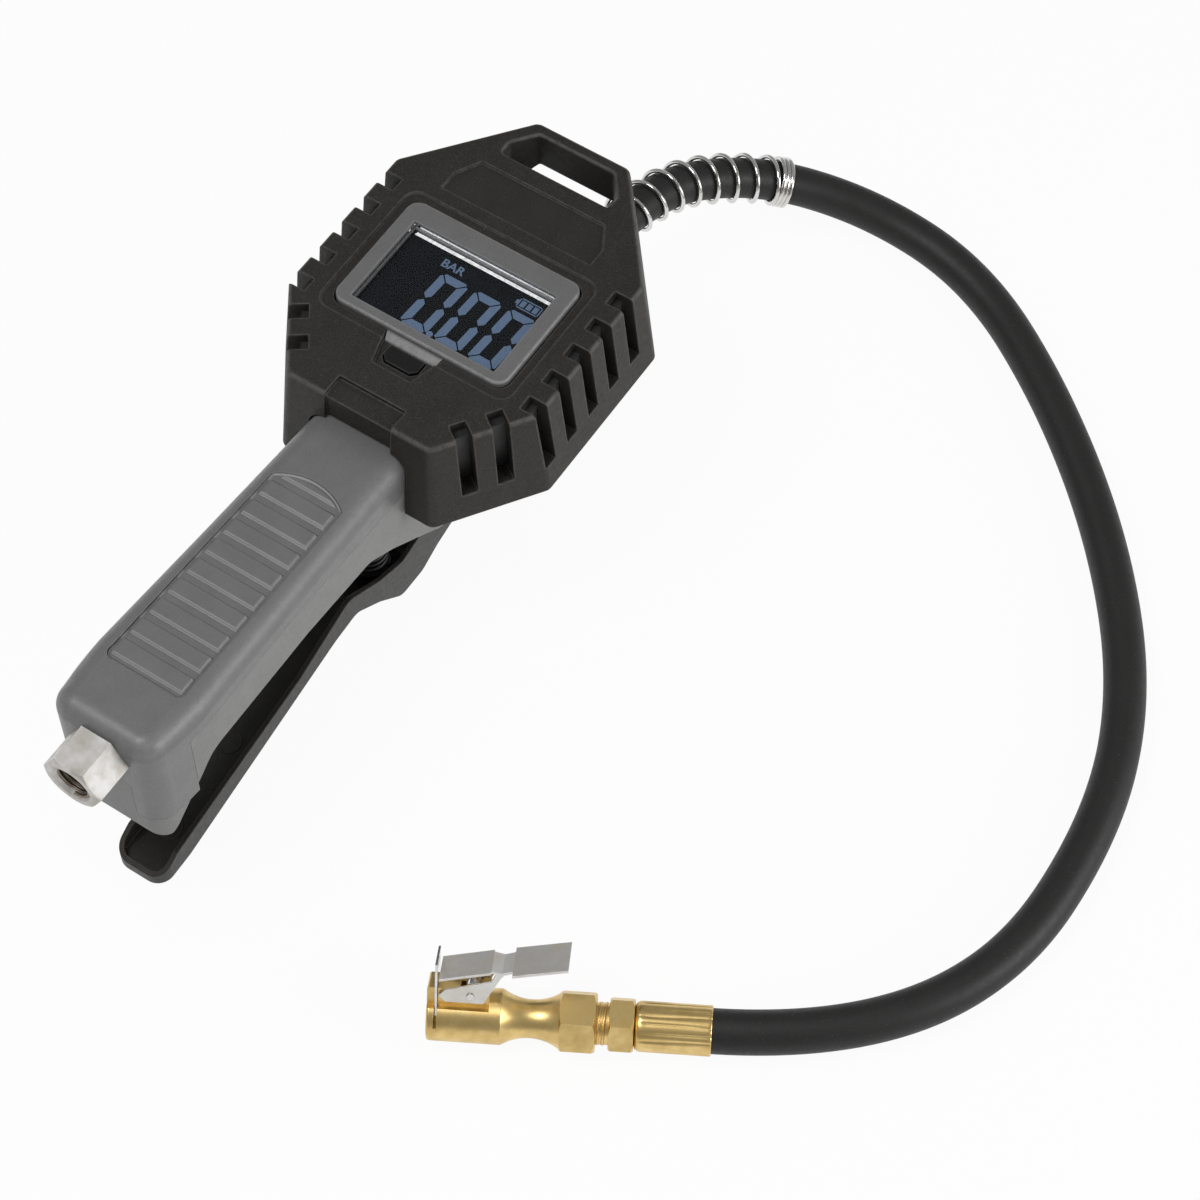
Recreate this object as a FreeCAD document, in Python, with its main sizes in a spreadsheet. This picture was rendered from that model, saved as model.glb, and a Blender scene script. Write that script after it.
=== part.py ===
"""Tyre inflator with a digital gauge, a squeeze lever and a hose with a clip-on chuck.

Millimetres. X runs along the tool from the air inlet to the gauge head and the hose, and Z is up. The
tool lies on the plane z = 0 with its display upwards, and the origin is the middle of its footprint.
Most pieces are drawn in the head's own frame, with its zero at the head's centre on the boot's top face,
so a depth is a negative height there. The lever is drawn from its pivot and the chuck from its mouth.
"""
import FreeCAD
import Part
import Sketcher
import math
import os

SIZES = {
    # Places of the groups
    "head_x": 65.5,
    "face_z": 96.5,
    "rest_gap": 0.3,
    "shell_gap": 0.1,
    # Rubber boot, from the head's centre
    "boot_low_end": 57.4,
    "boot_low_half": 25.9,
    "boot_low_side": 28.9,
    "boot_side_half": 45.8,
    "boot_high_side": 27.9,
    "boot_loop_end": 64.2,
    "boot_loop_half": 17.0,
    "boot_deep": 35.0,
    "boot_draft": 6.3,
    "boot_wall": 3.5,
    "boot_corner": 3.5,
    "boot_edge": 1.6,
    "boot_fit": 0.15,
    "loop_deep": 11.0,
    "loop_ramp": 32.0,
    # Hang slot through the loop
    "hang_start": 47.8,
    "hang_end": 60.0,
    "hang_half": 20.0,
    "hang_far_half": 14.0,
    "hang_straight": 4.6,
    "hang_corner": 1.5,
    "hang_edge": 1.2,
    # Slots down the boot's sides
    "slot_wide": 5.2,
    "slot_pitch": 11.6,
    "slot_first": 27.2,
    "slot_count": 5,
    "slot_reach": 6.3,
    "slot_deep": 25.0,
    "low_slot_first": 12.0,
    "low_slot_count": 2,
    # Bare plate recess, and the recess over the grip
    "plate_start": 26.0,
    "plate_step": 7.0,
    "plate_end": 41.3,
    "plate_half": 27.5,
    "plate_far_half": 22.8,
    "plate_deep": 0.8,
    "collar_start": 49.5,
    "collar_half": 12.0,
    "collar_deep": 1.6,
    "collar_front": 0.4,
    # Gauge housing inside the boot
    "housing_end": 43.6,
    "housing_wall": 2.2,
    "housing_split": 22.0,
    "housing_deep": 41.0,
    "housing_edge": 1.5,
    "rim_wide": 3.4,
    "rim_deep": 0.6,
    "bezel_low": 27.5,
    "bezel_high": 17.5,
    "bezel_half": 31.5,
    "bezel_proud": 1.3,
    "bezel_corner": 4.5,
    "bezel_edge": 1.0,
    "bezel_bevel": 4.0,
    "bezel_fall": 0.9,
    "bezel_gap": 0.4,
    "window_low": 24.0,
    "window_high": 9.7,
    "window_half": 26.2,
    "window_ledge": 0.5,
    "ledge_thick": 1.2,
    # Display, board and sensor
    "lens_thick": 1.5,
    "lens_deep": 1.2,
    "lens_fit": 0.1,
    "panel_thick": 2.6,
    "panel_margin": 0.9,
    "strip_thick": 2.0,
    "board_thick": 1.6,
    "board_deep": 11.0,
    "board_gap": 0.8,
    "sensor_x": 20.0,
    "sensor_radius": 4.0,
    "sensor_tall": 5.0,
    "sensor_pipe": 1.8,
    "sensor_way": 0.8,
    # Screws and their posts in the housing
    "post_radius": 3.6,
    "post_low_x": 42.5,
    "post_low_y": 22.5,
    "post_high_x": 37.0,
    "post_high_y": 22.0,
    "screw_head": 2.3,
    "screw_head_tall": 1.6,
    "screw_shank": 1.2,
    "screw_sink": 16.0,
    "screw_bite": 4.0,
    # Cells under a screwed cover
    "cell_radius": 5.25,
    "cell_long": 43.6,
    "nub_radius": 2.6,
    "nub_long": 0.9,
    "bay_x": -0.5,
    "bay_y": 29.7,
    "bay_half_long": 25.5,
    "bay_half_wide": 10.9,
    "bay_tall": 14.5,
    "bay_wall": 1.2,
    "contact_thick": 0.4,
    "cover_thick": 1.6,
    "cover_lip": 1.3,
    "cover_tab": 4.2,
    "cover_fit": 0.2,
    # Button below the display
    "button_low": 37.0,
    "button_high": 31.2,
    "button_half": 6.2,
    "button_cut": 1.8,
    "button_fit": 0.3,
    "button_travel": 0.8,
    "button_flange": 1.0,
    "switch_half": 3.0,
    "dish_end": 40.0,
    "dish_half": 10.5,
    "dish_far_half": 7.0,
    "dish_deep": 2.0,
    # Grip shells, stations counted back from the head's centre
    "grip_waist": 112.0,
    "wide_back": 26.0,
    "grip_end": 184.0,
    "grip_start_half": 17.4,
    "grip_waist_half": 18.8,
    "grip_wide_half": 20.2,
    "grip_end_half": 18.8,
    "grip_top": 4.4,
    "top_tilt": 3.2,
    "arch_deep": 11.4,
    "grip_corner": 7.5,
    "grip_edge": 6.5,
    "grip_roof": 4.4,
    "grip_wall": 2.8,
    "grip_bow": 150.0,
    "arch_gap": 0.5,
    "seam_start": 26.5,
    "seam_waist": 18.5,
    "seam_end": 16.0,
    "ear_long": 16.0,
    "ear_deep": 44.0,
    "ear_half": 9.2,
    "ear_shelf": 28.0,
    "waist_bottom": 34.0,
    "wide_bottom": 31.5,
    "heel_long": 24.0,
    "heel_mid_back": 12.0,
    "heel_mid_bottom": 44.0,
    "heel_tip_back": 3.5,
    "heel_bottom": 54.0,
    "neck_start": 80.0,
    "neck_bottom": 38.0,
    "neck_mid": 68.0,
    "neck_mid_bottom": 46.0,
    "neck_low": 42.0,
    "neck_round": 9.0,
    "heel_round": 9.0,
    "heel_edge": 2.0,
    # Valve chest of the lower shell, under the head
    "chest_low": 41.0,
    "chest_bottom": 67.0,
    "chest_half": 16.8,
    "chest_slope": 20.0,
    "chest_end": 56.0,
    "chest_end_bottom": 64.5,
    "chest_floor": 2.6,
    "chest_wall": 3.0,
    "lug_half": 7.2,
    "lug_radius": 6.5,
    # Grip pad
    "pad_shoulder": 84.0,
    "pad_back": 21.0,
    "pad_half": 14.0,
    "pad_start_half": 12.8,
    "pad_bow": 20.0,
    "pad_corner": 3.0,
    "pad_sunk": 1.8,
    "pad_proud": 0.4,
    "pad_fit": 0.12,
    "pad_bars": 9,
    "groove_wide": 3.0,
    "groove_deep": 0.8,
    "groove_margin": 2.2,
    # Air inlet and its pipe
    "inlet_deep": 16.0,
    "inlet_hex": 18.0,
    "inlet_long": 13.5,
    "inlet_bore": 5.72,
    "inlet_mouth": 6.9,
    "inlet_thread": 11.0,
    "inlet_neck": 6.6,
    "inlet_back": 19.0,
    "filter_thick": 1.2,
    "filter_radius": 4.9,
    "pipe_radius": 3.2,
    "pipe_way": 2.2,
    "pipe_fit": 0.1,
    "pipe_bend": 118.0,
    "pipe_low": 86.0,
    # Valve over the plunger, its heights counted down from the boot's face
    "valve_x": 59.0,
    "valve_top": 25.0,
    "valve_neck": 4.8,
    "valve_shoulder": 41.3,
    "valve_radius": 6.0,
    "valve_foot": 59.0,
    "valve_room": 3.5,
    "valve_seat": 40.0,
    "valve_throat": 1.9,
    "valve_step": 42.5,
    "valve_chamber": 4.9,
    "valve_chamber_top": 49.5,
    "valve_pusher_bore": 3.0,
    "nipple_radius": 3.6,
    "nipple_long": 4.6,
    "inlet_port": 30.0,
    "cap_head": 1.6,
    "cap_plug": 3.0,
    "poppet_radius": 3.0,
    "poppet_tall": 2.6,
    "stem_radius": 1.1,
    "stem_foot": 44.7,
    "valve_spring_wire": 0.5,
    "valve_spring_turns": 5,
    "ring_wire": 0.9,
    # Plunger and its spring
    "plunger_radius": 4.0,
    "plunger_fit": 0.06,
    "plunger_neck": 60.5,
    "plunger_top": 50.0,
    "pusher_radius": 2.4,
    "plunger_flange": 6.6,
    "plunger_flange_deep": 79.0,
    "plunger_flange_thick": 1.4,
    "plunger_tip": 83.7,
    "dome_rise": 1.7,
    "guide_radius": 8.0,
    "guide_bottom": 63.0,
    "guide_edge": 1.2,
    "spring_radius": 5.6,
    "spring_wire": 0.55,
    "spring_turns": 6,
    # Outlet under the head
    "outlet_deep": 54.5,
    "outlet_radius": 6.4,
    "outlet_hex": 13.0,
    "outlet_start": 31.0,
    "outlet_nut": 5.0,
    "outlet_end": 48.0,
    "outlet_seat": 7.0,
    "tee_radius": 2.6,
    "tee_rise": 1.4,
    "socket_gap": 0.6,
    # Lever, from its pivot
    "pivot_back": 12.0,
    "pivot_deep": 80.0,
    "pin_radius": 2.0,
    "pin_fit": 0.05,
    "pin_head": 0.9,
    "lever_half": 9.35,
    "lever_wall": 1.6,
    "lever_floor": 2.4,
    "lever_corner": 5.5,
    "lever_eye": 6.5,
    "lever_front": 13.0,
    "lever_nose_up": 3.0,
    "lever_lap": 13.0,
    "lever_lap_up": 7.5,
    "lever_dip": 24.0,
    "lever_dip_up": 4.2,
    "knee_front": 32.5,
    "knee_back": 44.0,
    "rise_mid": 55.0,
    "rise_mid_up": 11.0,
    "rise_top": 66.5,
    "rise_top_up": 20.0,
    "shank_start": 78.0,
    "shank_start_up": 18.8,
    "shank_end": 156.0,
    "shank_end_up": 0.8,
    "lever_tip": 170.0,
    "boss_radius": 3.6,
    "knee_round": 6.0,
    "brim_round": 6.0,
    "tip_up": 4.0,
    "brim_end": 161.0,
    "brim_end_up": 9.4,
    "brim_low": 130.0,
    "brim_low_up": 15.4,
    "brim_fall": 97.0,
    "brim_fall_up": 21.6,
    "brim_peak": 69.5,
    "brim_peak_up": 31.2,
    "brim_rise": 54.0,
    "brim_rise_up": 22.0,
    "brim_dip": 42.0,
    "brim_dip_up": 17.6,
    "brim_step": 25.0,
    "brim_step_up": 22.5,
    # Hose and its guard
    "hose_radius": 6.75,
    "guard_gap": 0.3,
    "guard_wire": 0.75,
    "guard_long": 104.0,
    "hose_lead": 37.4,
    # Chuck, from its mouth
    "chuck_x": -108.4,
    "chuck_y": -102.3,
    "chuck_z": 8.6,
    "chuck_yaw": -60.9,
    "chuck_roll": -30.0,
    "chuck_block": 18.3,
    "chuck_radius": 8.3,
    "chuck_collar": 21.8,
    "waist_radius": 5.7,
    "nut_start": 38.9,
    "nut_end": 49.5,
    "nut_flat": 17.0,
    "mouth_bore": 4.1,
    "mouth_deep": 12.0,
    "mouth_lead": 0.8,
    "chuck_way": 1.6,
    "ledge_up": 5.6,
    "rib_half": 4.0,
    "rib_up": 10.8,
    "lobe_up": 11.6,
    "lobe_long": 4.4,
    "rib_notch": 1.6,
    "notch_front": 3.2,
    "notch_back": 4.6,
    "notch_deep": 2.7,
    "jaw_x": 2.7,
    "jaw_slot": 0.9,
    "jaw_thick": 0.7,
    "jaw_half": 5.0,
    "jaw_foot": 0.4,
    "jaw_top": 20.2,
    "clip_pin_x": 12.8,
    "clip_pin_up": 10.0,
    "clip_pin_radius": 1.1,
    "clip_pin_long": 5.6,
    "clip_thick": 0.8,
    "clip_half": 6.0,
    "clip_start": 3.6,
    "clip_start_up": 15.9,
    "clip_knee": 18.8,
    "clip_knee_up": 19.4,
    "clip_dip": 22.0,
    "clip_dip_up": 18.7,
    "clip_rise": 25.0,
    "clip_rise_up": 19.7,
    "clip_tip": 41.2,
    "clip_tip_up": 23.0,
    "thumb_half": 7.4,
    "ear_gap": 0.3,
    "ear_cut": 2.0,
    "ear_low": 7.6,
    "ear_front": 3.4,
    "ear_back": 16.6,
    "seal_way": 2.4,
    "seal_deep": 9.2,
    "seal_radius": 4.7,
    "bore_deep": 8.6,
    "pusher_disc": 1.0,
    "pusher_pin": 1.0,
    "torsion_wire": 0.9,
    "torsion_leg": 3.4,
    "torsion_reach": 5.0,
    "torsion_rise": 6.3,
    # Hose end of the chuck
    "stem_collar": 6.2,
    "stem_collar_long": 3.9,
    "stem_flat": 15.0,
    "stem_end": 60.8,
    "ferrule_radius": 7.5,
    "ferrule_end": 83.6,
    "ferrule_cup": 1.4,
}

NEAR = 0.02


class Size:
    """A value with the sheet formula that gives it."""

    def __init__(self, value, formula):
        self.value = float(value)
        self.formula = formula

    def __add__(self, other):
        other = size_of(other)
        return Size(self.value + other.value, "(%s + %s)" % (self.formula, other.formula))

    def __sub__(self, other):
        other = size_of(other)
        return Size(self.value - other.value, "(%s - %s)" % (self.formula, other.formula))

    def __mul__(self, other):
        other = size_of(other)
        return Size(self.value * other.value, "(%s * %s)" % (self.formula, other.formula))

    def __truediv__(self, other):
        other = size_of(other)
        return Size(self.value / other.value, "(%s / %s)" % (self.formula, other.formula))

    def __neg__(self):
        return Size(-self.value, "(-%s)" % self.formula)

    def __radd__(self, other):
        return size_of(other) + self

    def __rsub__(self, other):
        return size_of(other) - self

    def __rmul__(self, other):
        return size_of(other) * self


def size_of(number):
    """A plain number as a size of its own, and a size as it is."""
    if isinstance(number, Size):
        return number
    return Size(number, repr(float(number)))


def long_side(across, up):
    """The long side of a right triangle."""
    return Size(math.hypot(across.value, up.value),
                "sqrt(%s * %s + %s * %s)" % (across.formula, across.formula, up.formula, up.formula))


def steepness(angle):
    """How far a line at an angle in degrees rises for each unit forward."""
    return Size(math.tan(math.radians(angle.value)), "tan(%s)" % angle.formula)


class Sheet:
    """The document's sheet, whose named cells are read as sizes."""

    def __init__(self, document, values):
        self.cells = document.addObject("Spreadsheet::Sheet", "Sizes")
        for row, (name, value) in enumerate(values.items(), 1):
            self.cells.set("A%d" % row, name)
            self.cells.set("B%d" % row, repr(value))
            self.cells.setAlias("B%d" % row, name)
            setattr(self, name, Size(value, "Sizes." + name))


doc = FreeCAD.newDocument("tyre_inflator")
s = Sheet(doc, SIZES)
doc.recompute()
HEAD = (s.head_x, size_of(0), s.face_z)
LEVER = (s.head_x - s.pivot_back, size_of(0), s.face_z - s.pivot_deep)
CHUCK = (s.chuck_x, s.chuck_y, s.chuck_z)


# Helpers for bodies, sketches and features


def bind(target, name, size):
    """Ties a property to a size's formula."""
    target.setExpression(name, size_of(size).formula)


def place(body, frame, shift=(0, 0, 0)):
    """Puts a body in a group's frame, with a shift inside it."""
    for letter, base, more in zip("xyz", frame, shift):
        bind(body, "Placement.Base." + letter, base + more)


def body_in(name, frame, shift=(0, 0, 0)):
    """A labelled body in a group's frame; the chuck's frame is turned with the chuck."""
    body = doc.addObject("PartDesign::Body", name)
    body.Label = name
    if frame is CHUCK:
        turn = FreeCAD.Rotation(FreeCAD.Vector(0, 0, 1), s.chuck_yaw.value)
        roll = FreeCAD.Rotation(FreeCAD.Vector(1, 0, 0), s.chuck_roll.value)
        body.Placement = FreeCAD.Placement(FreeCAD.Vector(), turn.multiply(roll))
    place(body, frame, shift)
    return body


def sketch_on(body, plane, level=0):
    """An empty sketch on one of the body's planes, moved along that plane's normal."""
    sketch = body.newObject("Sketcher::SketchObject", "outline")
    side = [item for item in body.Origin.OriginFeatures if item.Role == plane + "_Plane"][0]
    sketch.AttachmentSupport = [(side, "")]
    sketch.MapMode = "FlatFace"
    bind(sketch, "AttachmentOffset.Base.z", level)
    return sketch


def bowed(start, end, radius):
    """An arc between two points, bowed to the right of the way for a positive radius."""
    middle = (start + end) * 0.5
    chord = end - start
    left = FreeCAD.Vector(-chord.y, chord.x, 0).normalize()
    reach = math.sqrt(radius * radius - chord.Length ** 2 / 4)
    centre = middle + left * math.copysign(reach, radius)
    crown = centre - left * radius
    arc = Part.Arc(start, crown, end)
    order = (1, 2) if radius > 0 else (2, 1)
    return arc, order


def add_loop(sketch, points, bows=None):
    """Adds a closed loop whose corners are held by sizes; bows names the radius of each curved side."""
    bows = bows or {}
    corners = [(size_of(across), size_of(up)) for across, up in points]
    spots = [FreeCAD.Vector(across.value, up.value, 0) for across, up in corners]
    sides = []
    for index, start in enumerate(spots):
        end = spots[(index + 1) % len(spots)]
        if index in bows:
            curve, order = bowed(start, end, size_of(bows[index]).value)
        else:
            curve, order = Part.LineSegment(start, end), (1, 2)
        sides.append((sketch.addGeometry(curve, False), order))
    rules = []
    formulas = []
    for index, (side, order) in enumerate(sides):
        following, next_order = sides[(index + 1) % len(sides)]
        across, up = corners[index]
        rules.append(Sketcher.Constraint("Coincident", side, order[1], following, next_order[0]))
        formulas.append(None)
        rules.append(Sketcher.Constraint("DistanceX", -1, 1, side, order[0], across.value))
        formulas.append(across.formula)
        rules.append(Sketcher.Constraint("DistanceY", -1, 1, side, order[0], up.value))
        formulas.append(up.formula)
        if index in bows:
            radius = size_of(bows[index])
            rules.append(Sketcher.Constraint("Radius", side, abs(radius.value)))
            formulas.append("abs(%s)" % radius.formula)
    hold(sketch, rules, formulas)


def add_disc(sketch, across, up, radius):
    """Adds a circle whose centre and radius are held by sizes."""
    across, up, radius = size_of(across), size_of(up), size_of(radius)
    centre = FreeCAD.Vector(across.value, up.value, 0)
    side = sketch.addGeometry(Part.Circle(centre, FreeCAD.Vector(0, 0, 1), radius.value), False)
    rules = [Sketcher.Constraint("DistanceX", -1, 1, side, 3, across.value),
             Sketcher.Constraint("DistanceY", -1, 1, side, 3, up.value),
             Sketcher.Constraint("Radius", side, radius.value)]
    hold(sketch, rules, [across.formula, up.formula, radius.formula])


def hold(sketch, rules, formulas):
    """Adds constraints together and ties each to its formula."""
    numbers = sketch.addConstraint(rules)
    for number, formula in zip(numbers, formulas):
        if formula:
            sketch.setExpression("Constraints[%d]" % number, formula)


def outline(body, plane, points, level=0, bows=None):
    """A sketch that holds one closed loop."""
    sketch = sketch_on(body, plane, level)
    add_loop(sketch, points, bows)
    return sketch


def disc(body, plane, across, up, radius, level=0):
    """A sketch that holds one circle."""
    sketch = sketch_on(body, plane, level)
    add_disc(sketch, across, up, radius)
    return sketch


def extrude(body, kind, sketch, length, back=False, even=False, draft=None):
    """A pad or a pocket of a sketch: back turns its way round, even spreads it to both sides."""
    feature = body.newObject("PartDesign::" + kind, kind.lower())
    feature.Profile = sketch
    bind(feature, "Length", length)
    feature.Reversed = back
    if even:
        feature.SideType = "Symmetric"
    if draft is not None:
        bind(feature, "TaperAngle", draft)
    return feature


def pad(body, sketch, length, **options):
    return extrude(body, "Pad", sketch, length, **options)


def pocket(body, sketch, length, **options):
    return extrude(body, "Pocket", sketch, length, **options)


def turned(body, plane, axis, points, bows=None):
    """A full turn of a half outline about one of its sketch's axes."""
    sketch = outline(body, plane, points, bows=bows)
    feature = body.newObject("PartDesign::Revolution", "turning")
    feature.Profile = sketch
    feature.ReferenceAxis = (sketch, [axis])
    feature.Angle = 360
    return feature


def rounded(body, radius, x=None, y=None, z=None, side=None, along=None):
    """Rounds the edges that lie wholly inside the given ranges; side ranges over the distance from y = 0."""
    doc.recompute()
    base = body.Tip
    names = []
    for number, edge in enumerate(base.Shape.Edges, 1):
        first, last = edge.FirstParameter, edge.LastParameter
        spots = [edge.valueAt(first), edge.valueAt((first + last) / 2), edge.valueAt(last)]
        run = spots[2] - spots[0]
        if along and abs(getattr(run, along)) < 0.9 * edge.Length:
            continue
        if all(inside(spot, x, y, z, side) for spot in spots):
            names.append("Edge%d" % number)
    if not names:
        raise ValueError("no edge to round on " + body.Label)
    fillet = body.newObject("PartDesign::Fillet", "rounding")
    fillet.Base = (base, names)
    bind(fillet, "Radius", radius)
    return fillet


def inside(spot, x, y, z, side):
    """Whether a point lies inside every range that is given."""
    tests = ((spot.x, x), (spot.y, y), (spot.z, z), (abs(spot.y), side))
    for value, limits in tests:
        if limits is None:
            continue
        low, high = [size_of(limit).value for limit in limits]
        if not low - NEAR <= value <= high + NEAR:
            return False
    return True


def mirrored(half):
    """A closed outline from its half at positive y, which runs from low x to high x."""
    half = [(size_of(across), size_of(up)) for across, up in half]
    return [(across, -up) for across, up in half] + half[::-1]


def box(low_x, high_x, low_y, high_y):
    """The corners of a rectangle."""
    return [(low_x, low_y), (high_x, low_y), (high_x, high_y), (low_x, high_y)]


def middle_box(x, y, half_x, half_y):
    """The corners of a rectangle about its middle."""
    return box(x - half_x, x + half_x, y - half_y, y + half_y)


def hexagon(flat, centre=(0, 0)):
    """A hexagon with flats above and below its middle, from the distance across its flats."""
    corner = flat / size_of(math.sqrt(3))
    across, up = size_of(centre[0]), size_of(centre[1])
    spots = [(corner * -0.5, flat * -0.5), (corner * 0.5, flat * -0.5), (corner, size_of(0)),
             (corner * 0.5, flat * 0.5), (corner * -0.5, flat * 0.5), (-corner, size_of(0))]
    return [(across + one, up + other) for one, other in spots]


def heading(start, end):
    """The unit step from one corner to the next."""
    across, up = end[0] - start[0], end[1] - start[1]
    reach = long_side(across, up)
    return across / reach, up / reach


def half_inset(half, distance):
    """A half outline moved inwards by a distance, for an outline that is round and convex."""
    whole = mirrored(half)
    moved = []
    for index, (across, up) in enumerate(whole):
        first = heading(whole[index - 1], (across, up))
        second = heading((across, up), whole[(index + 1) % len(whole)])
        turn = 1 + first[0] * second[0] + first[1] * second[1]
        moved.append((across - distance * (first[1] + second[1]) / turn,
                      up + distance * (first[0] + second[0]) / turn))
    return moved[len(half):][::-1]


def ended(half, high):
    """A half outline cut off square at a high x on its last side."""
    (x_two, y_two), (x_three, y_three) = half[-2:]
    rise = (y_three - y_two) / (x_three - x_two)
    return half[:-1] + [(high, y_two + rise * (high - x_two))]


# Outlines that several pieces share

BOOT = [(-s.boot_low_end, s.boot_low_half), (-s.boot_low_side, s.boot_side_half),
        (s.boot_high_side, s.boot_side_half), (s.boot_loop_end, s.boot_loop_half)]
HOUSING_TOP = s.boot_wall + s.boot_fit
PLATE_UNDER = HOUSING_TOP + s.housing_wall
HOUSING = ended(half_inset(BOOT, HOUSING_TOP), s.housing_end)
GRIP_START = s.boot_low_end - s.boot_wall - s.boot_fit + s.shell_gap
GRIP_WIDE = s.grip_end - s.wide_back
EAR_START = s.grip_end - s.ear_long
HEEL_START = s.grip_end - s.heel_long
HEEL_MID = s.grip_end - s.heel_mid_back
HEEL_TIP = s.grip_end - s.heel_tip_back
PAD_END = s.grip_end - s.pad_back
TOP_FALL = steepness(s.top_tilt)
PANEL_TOP = s.lens_deep + s.lens_thick + s.ledge_thick - s.bezel_proud
BOARD_UNDER = s.board_deep + s.board_thick
BUTTON_FOOT = PLATE_UNDER + s.shell_gap + s.button_flange
GUARD_RADIUS = s.hose_radius + s.guard_gap + s.guard_wire * 2
POSTS = [(across, up * hand) for hand in (-1, 1)
         for across, up in ((-s.post_low_x, s.post_low_y), (s.post_high_x, s.post_high_y))]


def button_outline(margin):
    """The button's outline with its two lower corners cut, grown by a margin."""
    low, high, half = s.button_low + margin, s.button_high - margin, s.button_half + margin
    return mirrored([(-low, half - s.button_cut), (-low + s.button_cut, half), (-high, half)])


HALF_GRIP = [(-s.grip_end, s.grip_end_half - s.grip_corner), (-s.grip_end + s.grip_corner, s.grip_end_half),
             (-GRIP_WIDE, s.grip_wide_half), (-s.grip_waist, s.grip_waist_half), (-GRIP_START,
                                                                                  s.grip_start_half)]


def top_at(back):
    """How deep the grip's sloping top lies this far back from the head's centre."""
    return s.grip_top + (s.grip_end - back) * TOP_FALL


def on_slope(sketch):
    """Tilts a plan so that it lies along the grip's sloping top."""
    turn = FreeCAD.Rotation(FreeCAD.Vector(0, 1, 0), s.top_tilt.value)
    sketch.AttachmentOffset = FreeCAD.Placement(sketch.AttachmentOffset.Base, turn)
    return sketch


def grip_bows(half):
    """The bowed sides of a plan that starts with the grip's end: its corners and sides."""
    last = 2 * len(half) - 2
    return {0: s.grip_corner, 1: s.grip_bow, last - 1: s.grip_bow, last: s.grip_corner}


# Boot and gauge housing


def make_boot():
    """A rubber cover with slotted sides and a carrying loop."""
    body = body_in("rubber_boot", HEAD)
    pad(body, outline(body, "XY", mirrored(BOOT)), s.boot_deep, back=True, draft=s.boot_draft)
    rounded(body, s.boot_corner, along="z")
    rounded(body, s.boot_edge, z=(0, 0))
    ramp = [(s.loop_ramp, -s.boot_deep - 1), (s.loop_ramp, -s.boot_deep), (s.boot_loop_end, -s.loop_deep),
            (s.boot_loop_end + 10, -s.loop_deep), (s.boot_loop_end + 10, -s.boot_deep - 1)]
    pocket(body, outline(body, "XZ", ramp), s.boot_side_half * 3, even=True)
    room = ended(half_inset(BOOT, s.boot_wall), s.housing_end + s.boot_fit)
    pocket(body, outline(body, "XY", mirrored(room), -s.boot_wall), s.boot_deep)
    rim = box(-s.bezel_low - s.rim_wide, s.bezel_high + s.rim_wide,
              -s.bezel_half - s.rim_wide, s.bezel_half + s.rim_wide)
    pocket(body, outline(body, "XY", rim), s.rim_deep)
    rounded(body, s.bezel_corner, x=(-s.bezel_low - s.rim_wide, s.bezel_high + s.rim_wide), z=(-s.rim_deep,
                                                                                               0),
            side=(s.bezel_half + s.rim_wide, s.bezel_half + s.rim_wide), along="z")
    bezel = box(-s.bezel_low - s.bezel_gap, s.bezel_high + s.bezel_gap,
                -s.bezel_half - s.bezel_gap, s.bezel_half + s.bezel_gap)
    pocket(body, outline(body, "XY", bezel), s.boot_wall * 2)
    rounded(body, s.bezel_corner, x=(-s.bezel_low - 1, s.bezel_high + 1), z=(-s.boot_wall, 0),
            side=(s.bezel_half, s.bezel_half + 1), along="z")
    dish = mirrored([(-s.dish_end, s.dish_far_half), (-s.bezel_low, s.dish_half)])
    pocket(body, outline(body, "XY", dish), s.dish_deep)
    pocket(body, outline(body, "XY", button_outline(s.button_fit)), s.boot_wall * 2)
    cut_slots(body)
    hang = mirrored([(s.hang_start, s.hang_half), (s.hang_start + s.hang_straight, s.hang_half),
                     (s.hang_end, s.hang_far_half)])
    pocket(body, outline(body, "XY", hang), s.boot_deep)
    rounded(body, s.hang_corner, x=(s.hang_start, s.hang_end), side=(s.hang_far_half, s.hang_half), along="z")
    plate = mirrored([(s.plate_start, s.plate_half), (s.plate_start + s.plate_step, s.plate_half),
                      (s.plate_end, s.plate_far_half)])
    pocket(body, outline(body, "XY", plate), s.plate_deep)
    rounded(body, s.hang_edge, x=(s.hang_start, s.hang_end), side=(0, s.hang_half), z=(0, 0))
    collar = box(-s.boot_low_end - 9, -s.collar_start, -s.collar_half, s.collar_half)
    pocket(body, outline(body, "XY", collar), s.collar_deep)
    arch_half = s.grip_start_half + s.arch_gap
    arch = box(-arch_half, arch_half, -s.boot_deep * 2, -s.arch_deep + s.arch_gap)
    inner_face = -s.boot_low_end + s.boot_wall + 1
    pocket(body, outline(body, "YZ", arch, inner_face), s.boot_wall * 4)
    rounded(body, s.grip_edge, x=(-s.boot_low_end - 9, inner_face), side=(arch_half, arch_half),
            z=(-s.arch_deep + s.arch_gap, -s.arch_deep + s.arch_gap), along="x")
    front = box(-s.boot_low_end - 9, -s.boot_low_end + s.collar_front, -s.collar_half, s.collar_half)
    pocket(body, outline(body, "XY", front), s.boot_deep * 0.5)
    return body


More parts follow.
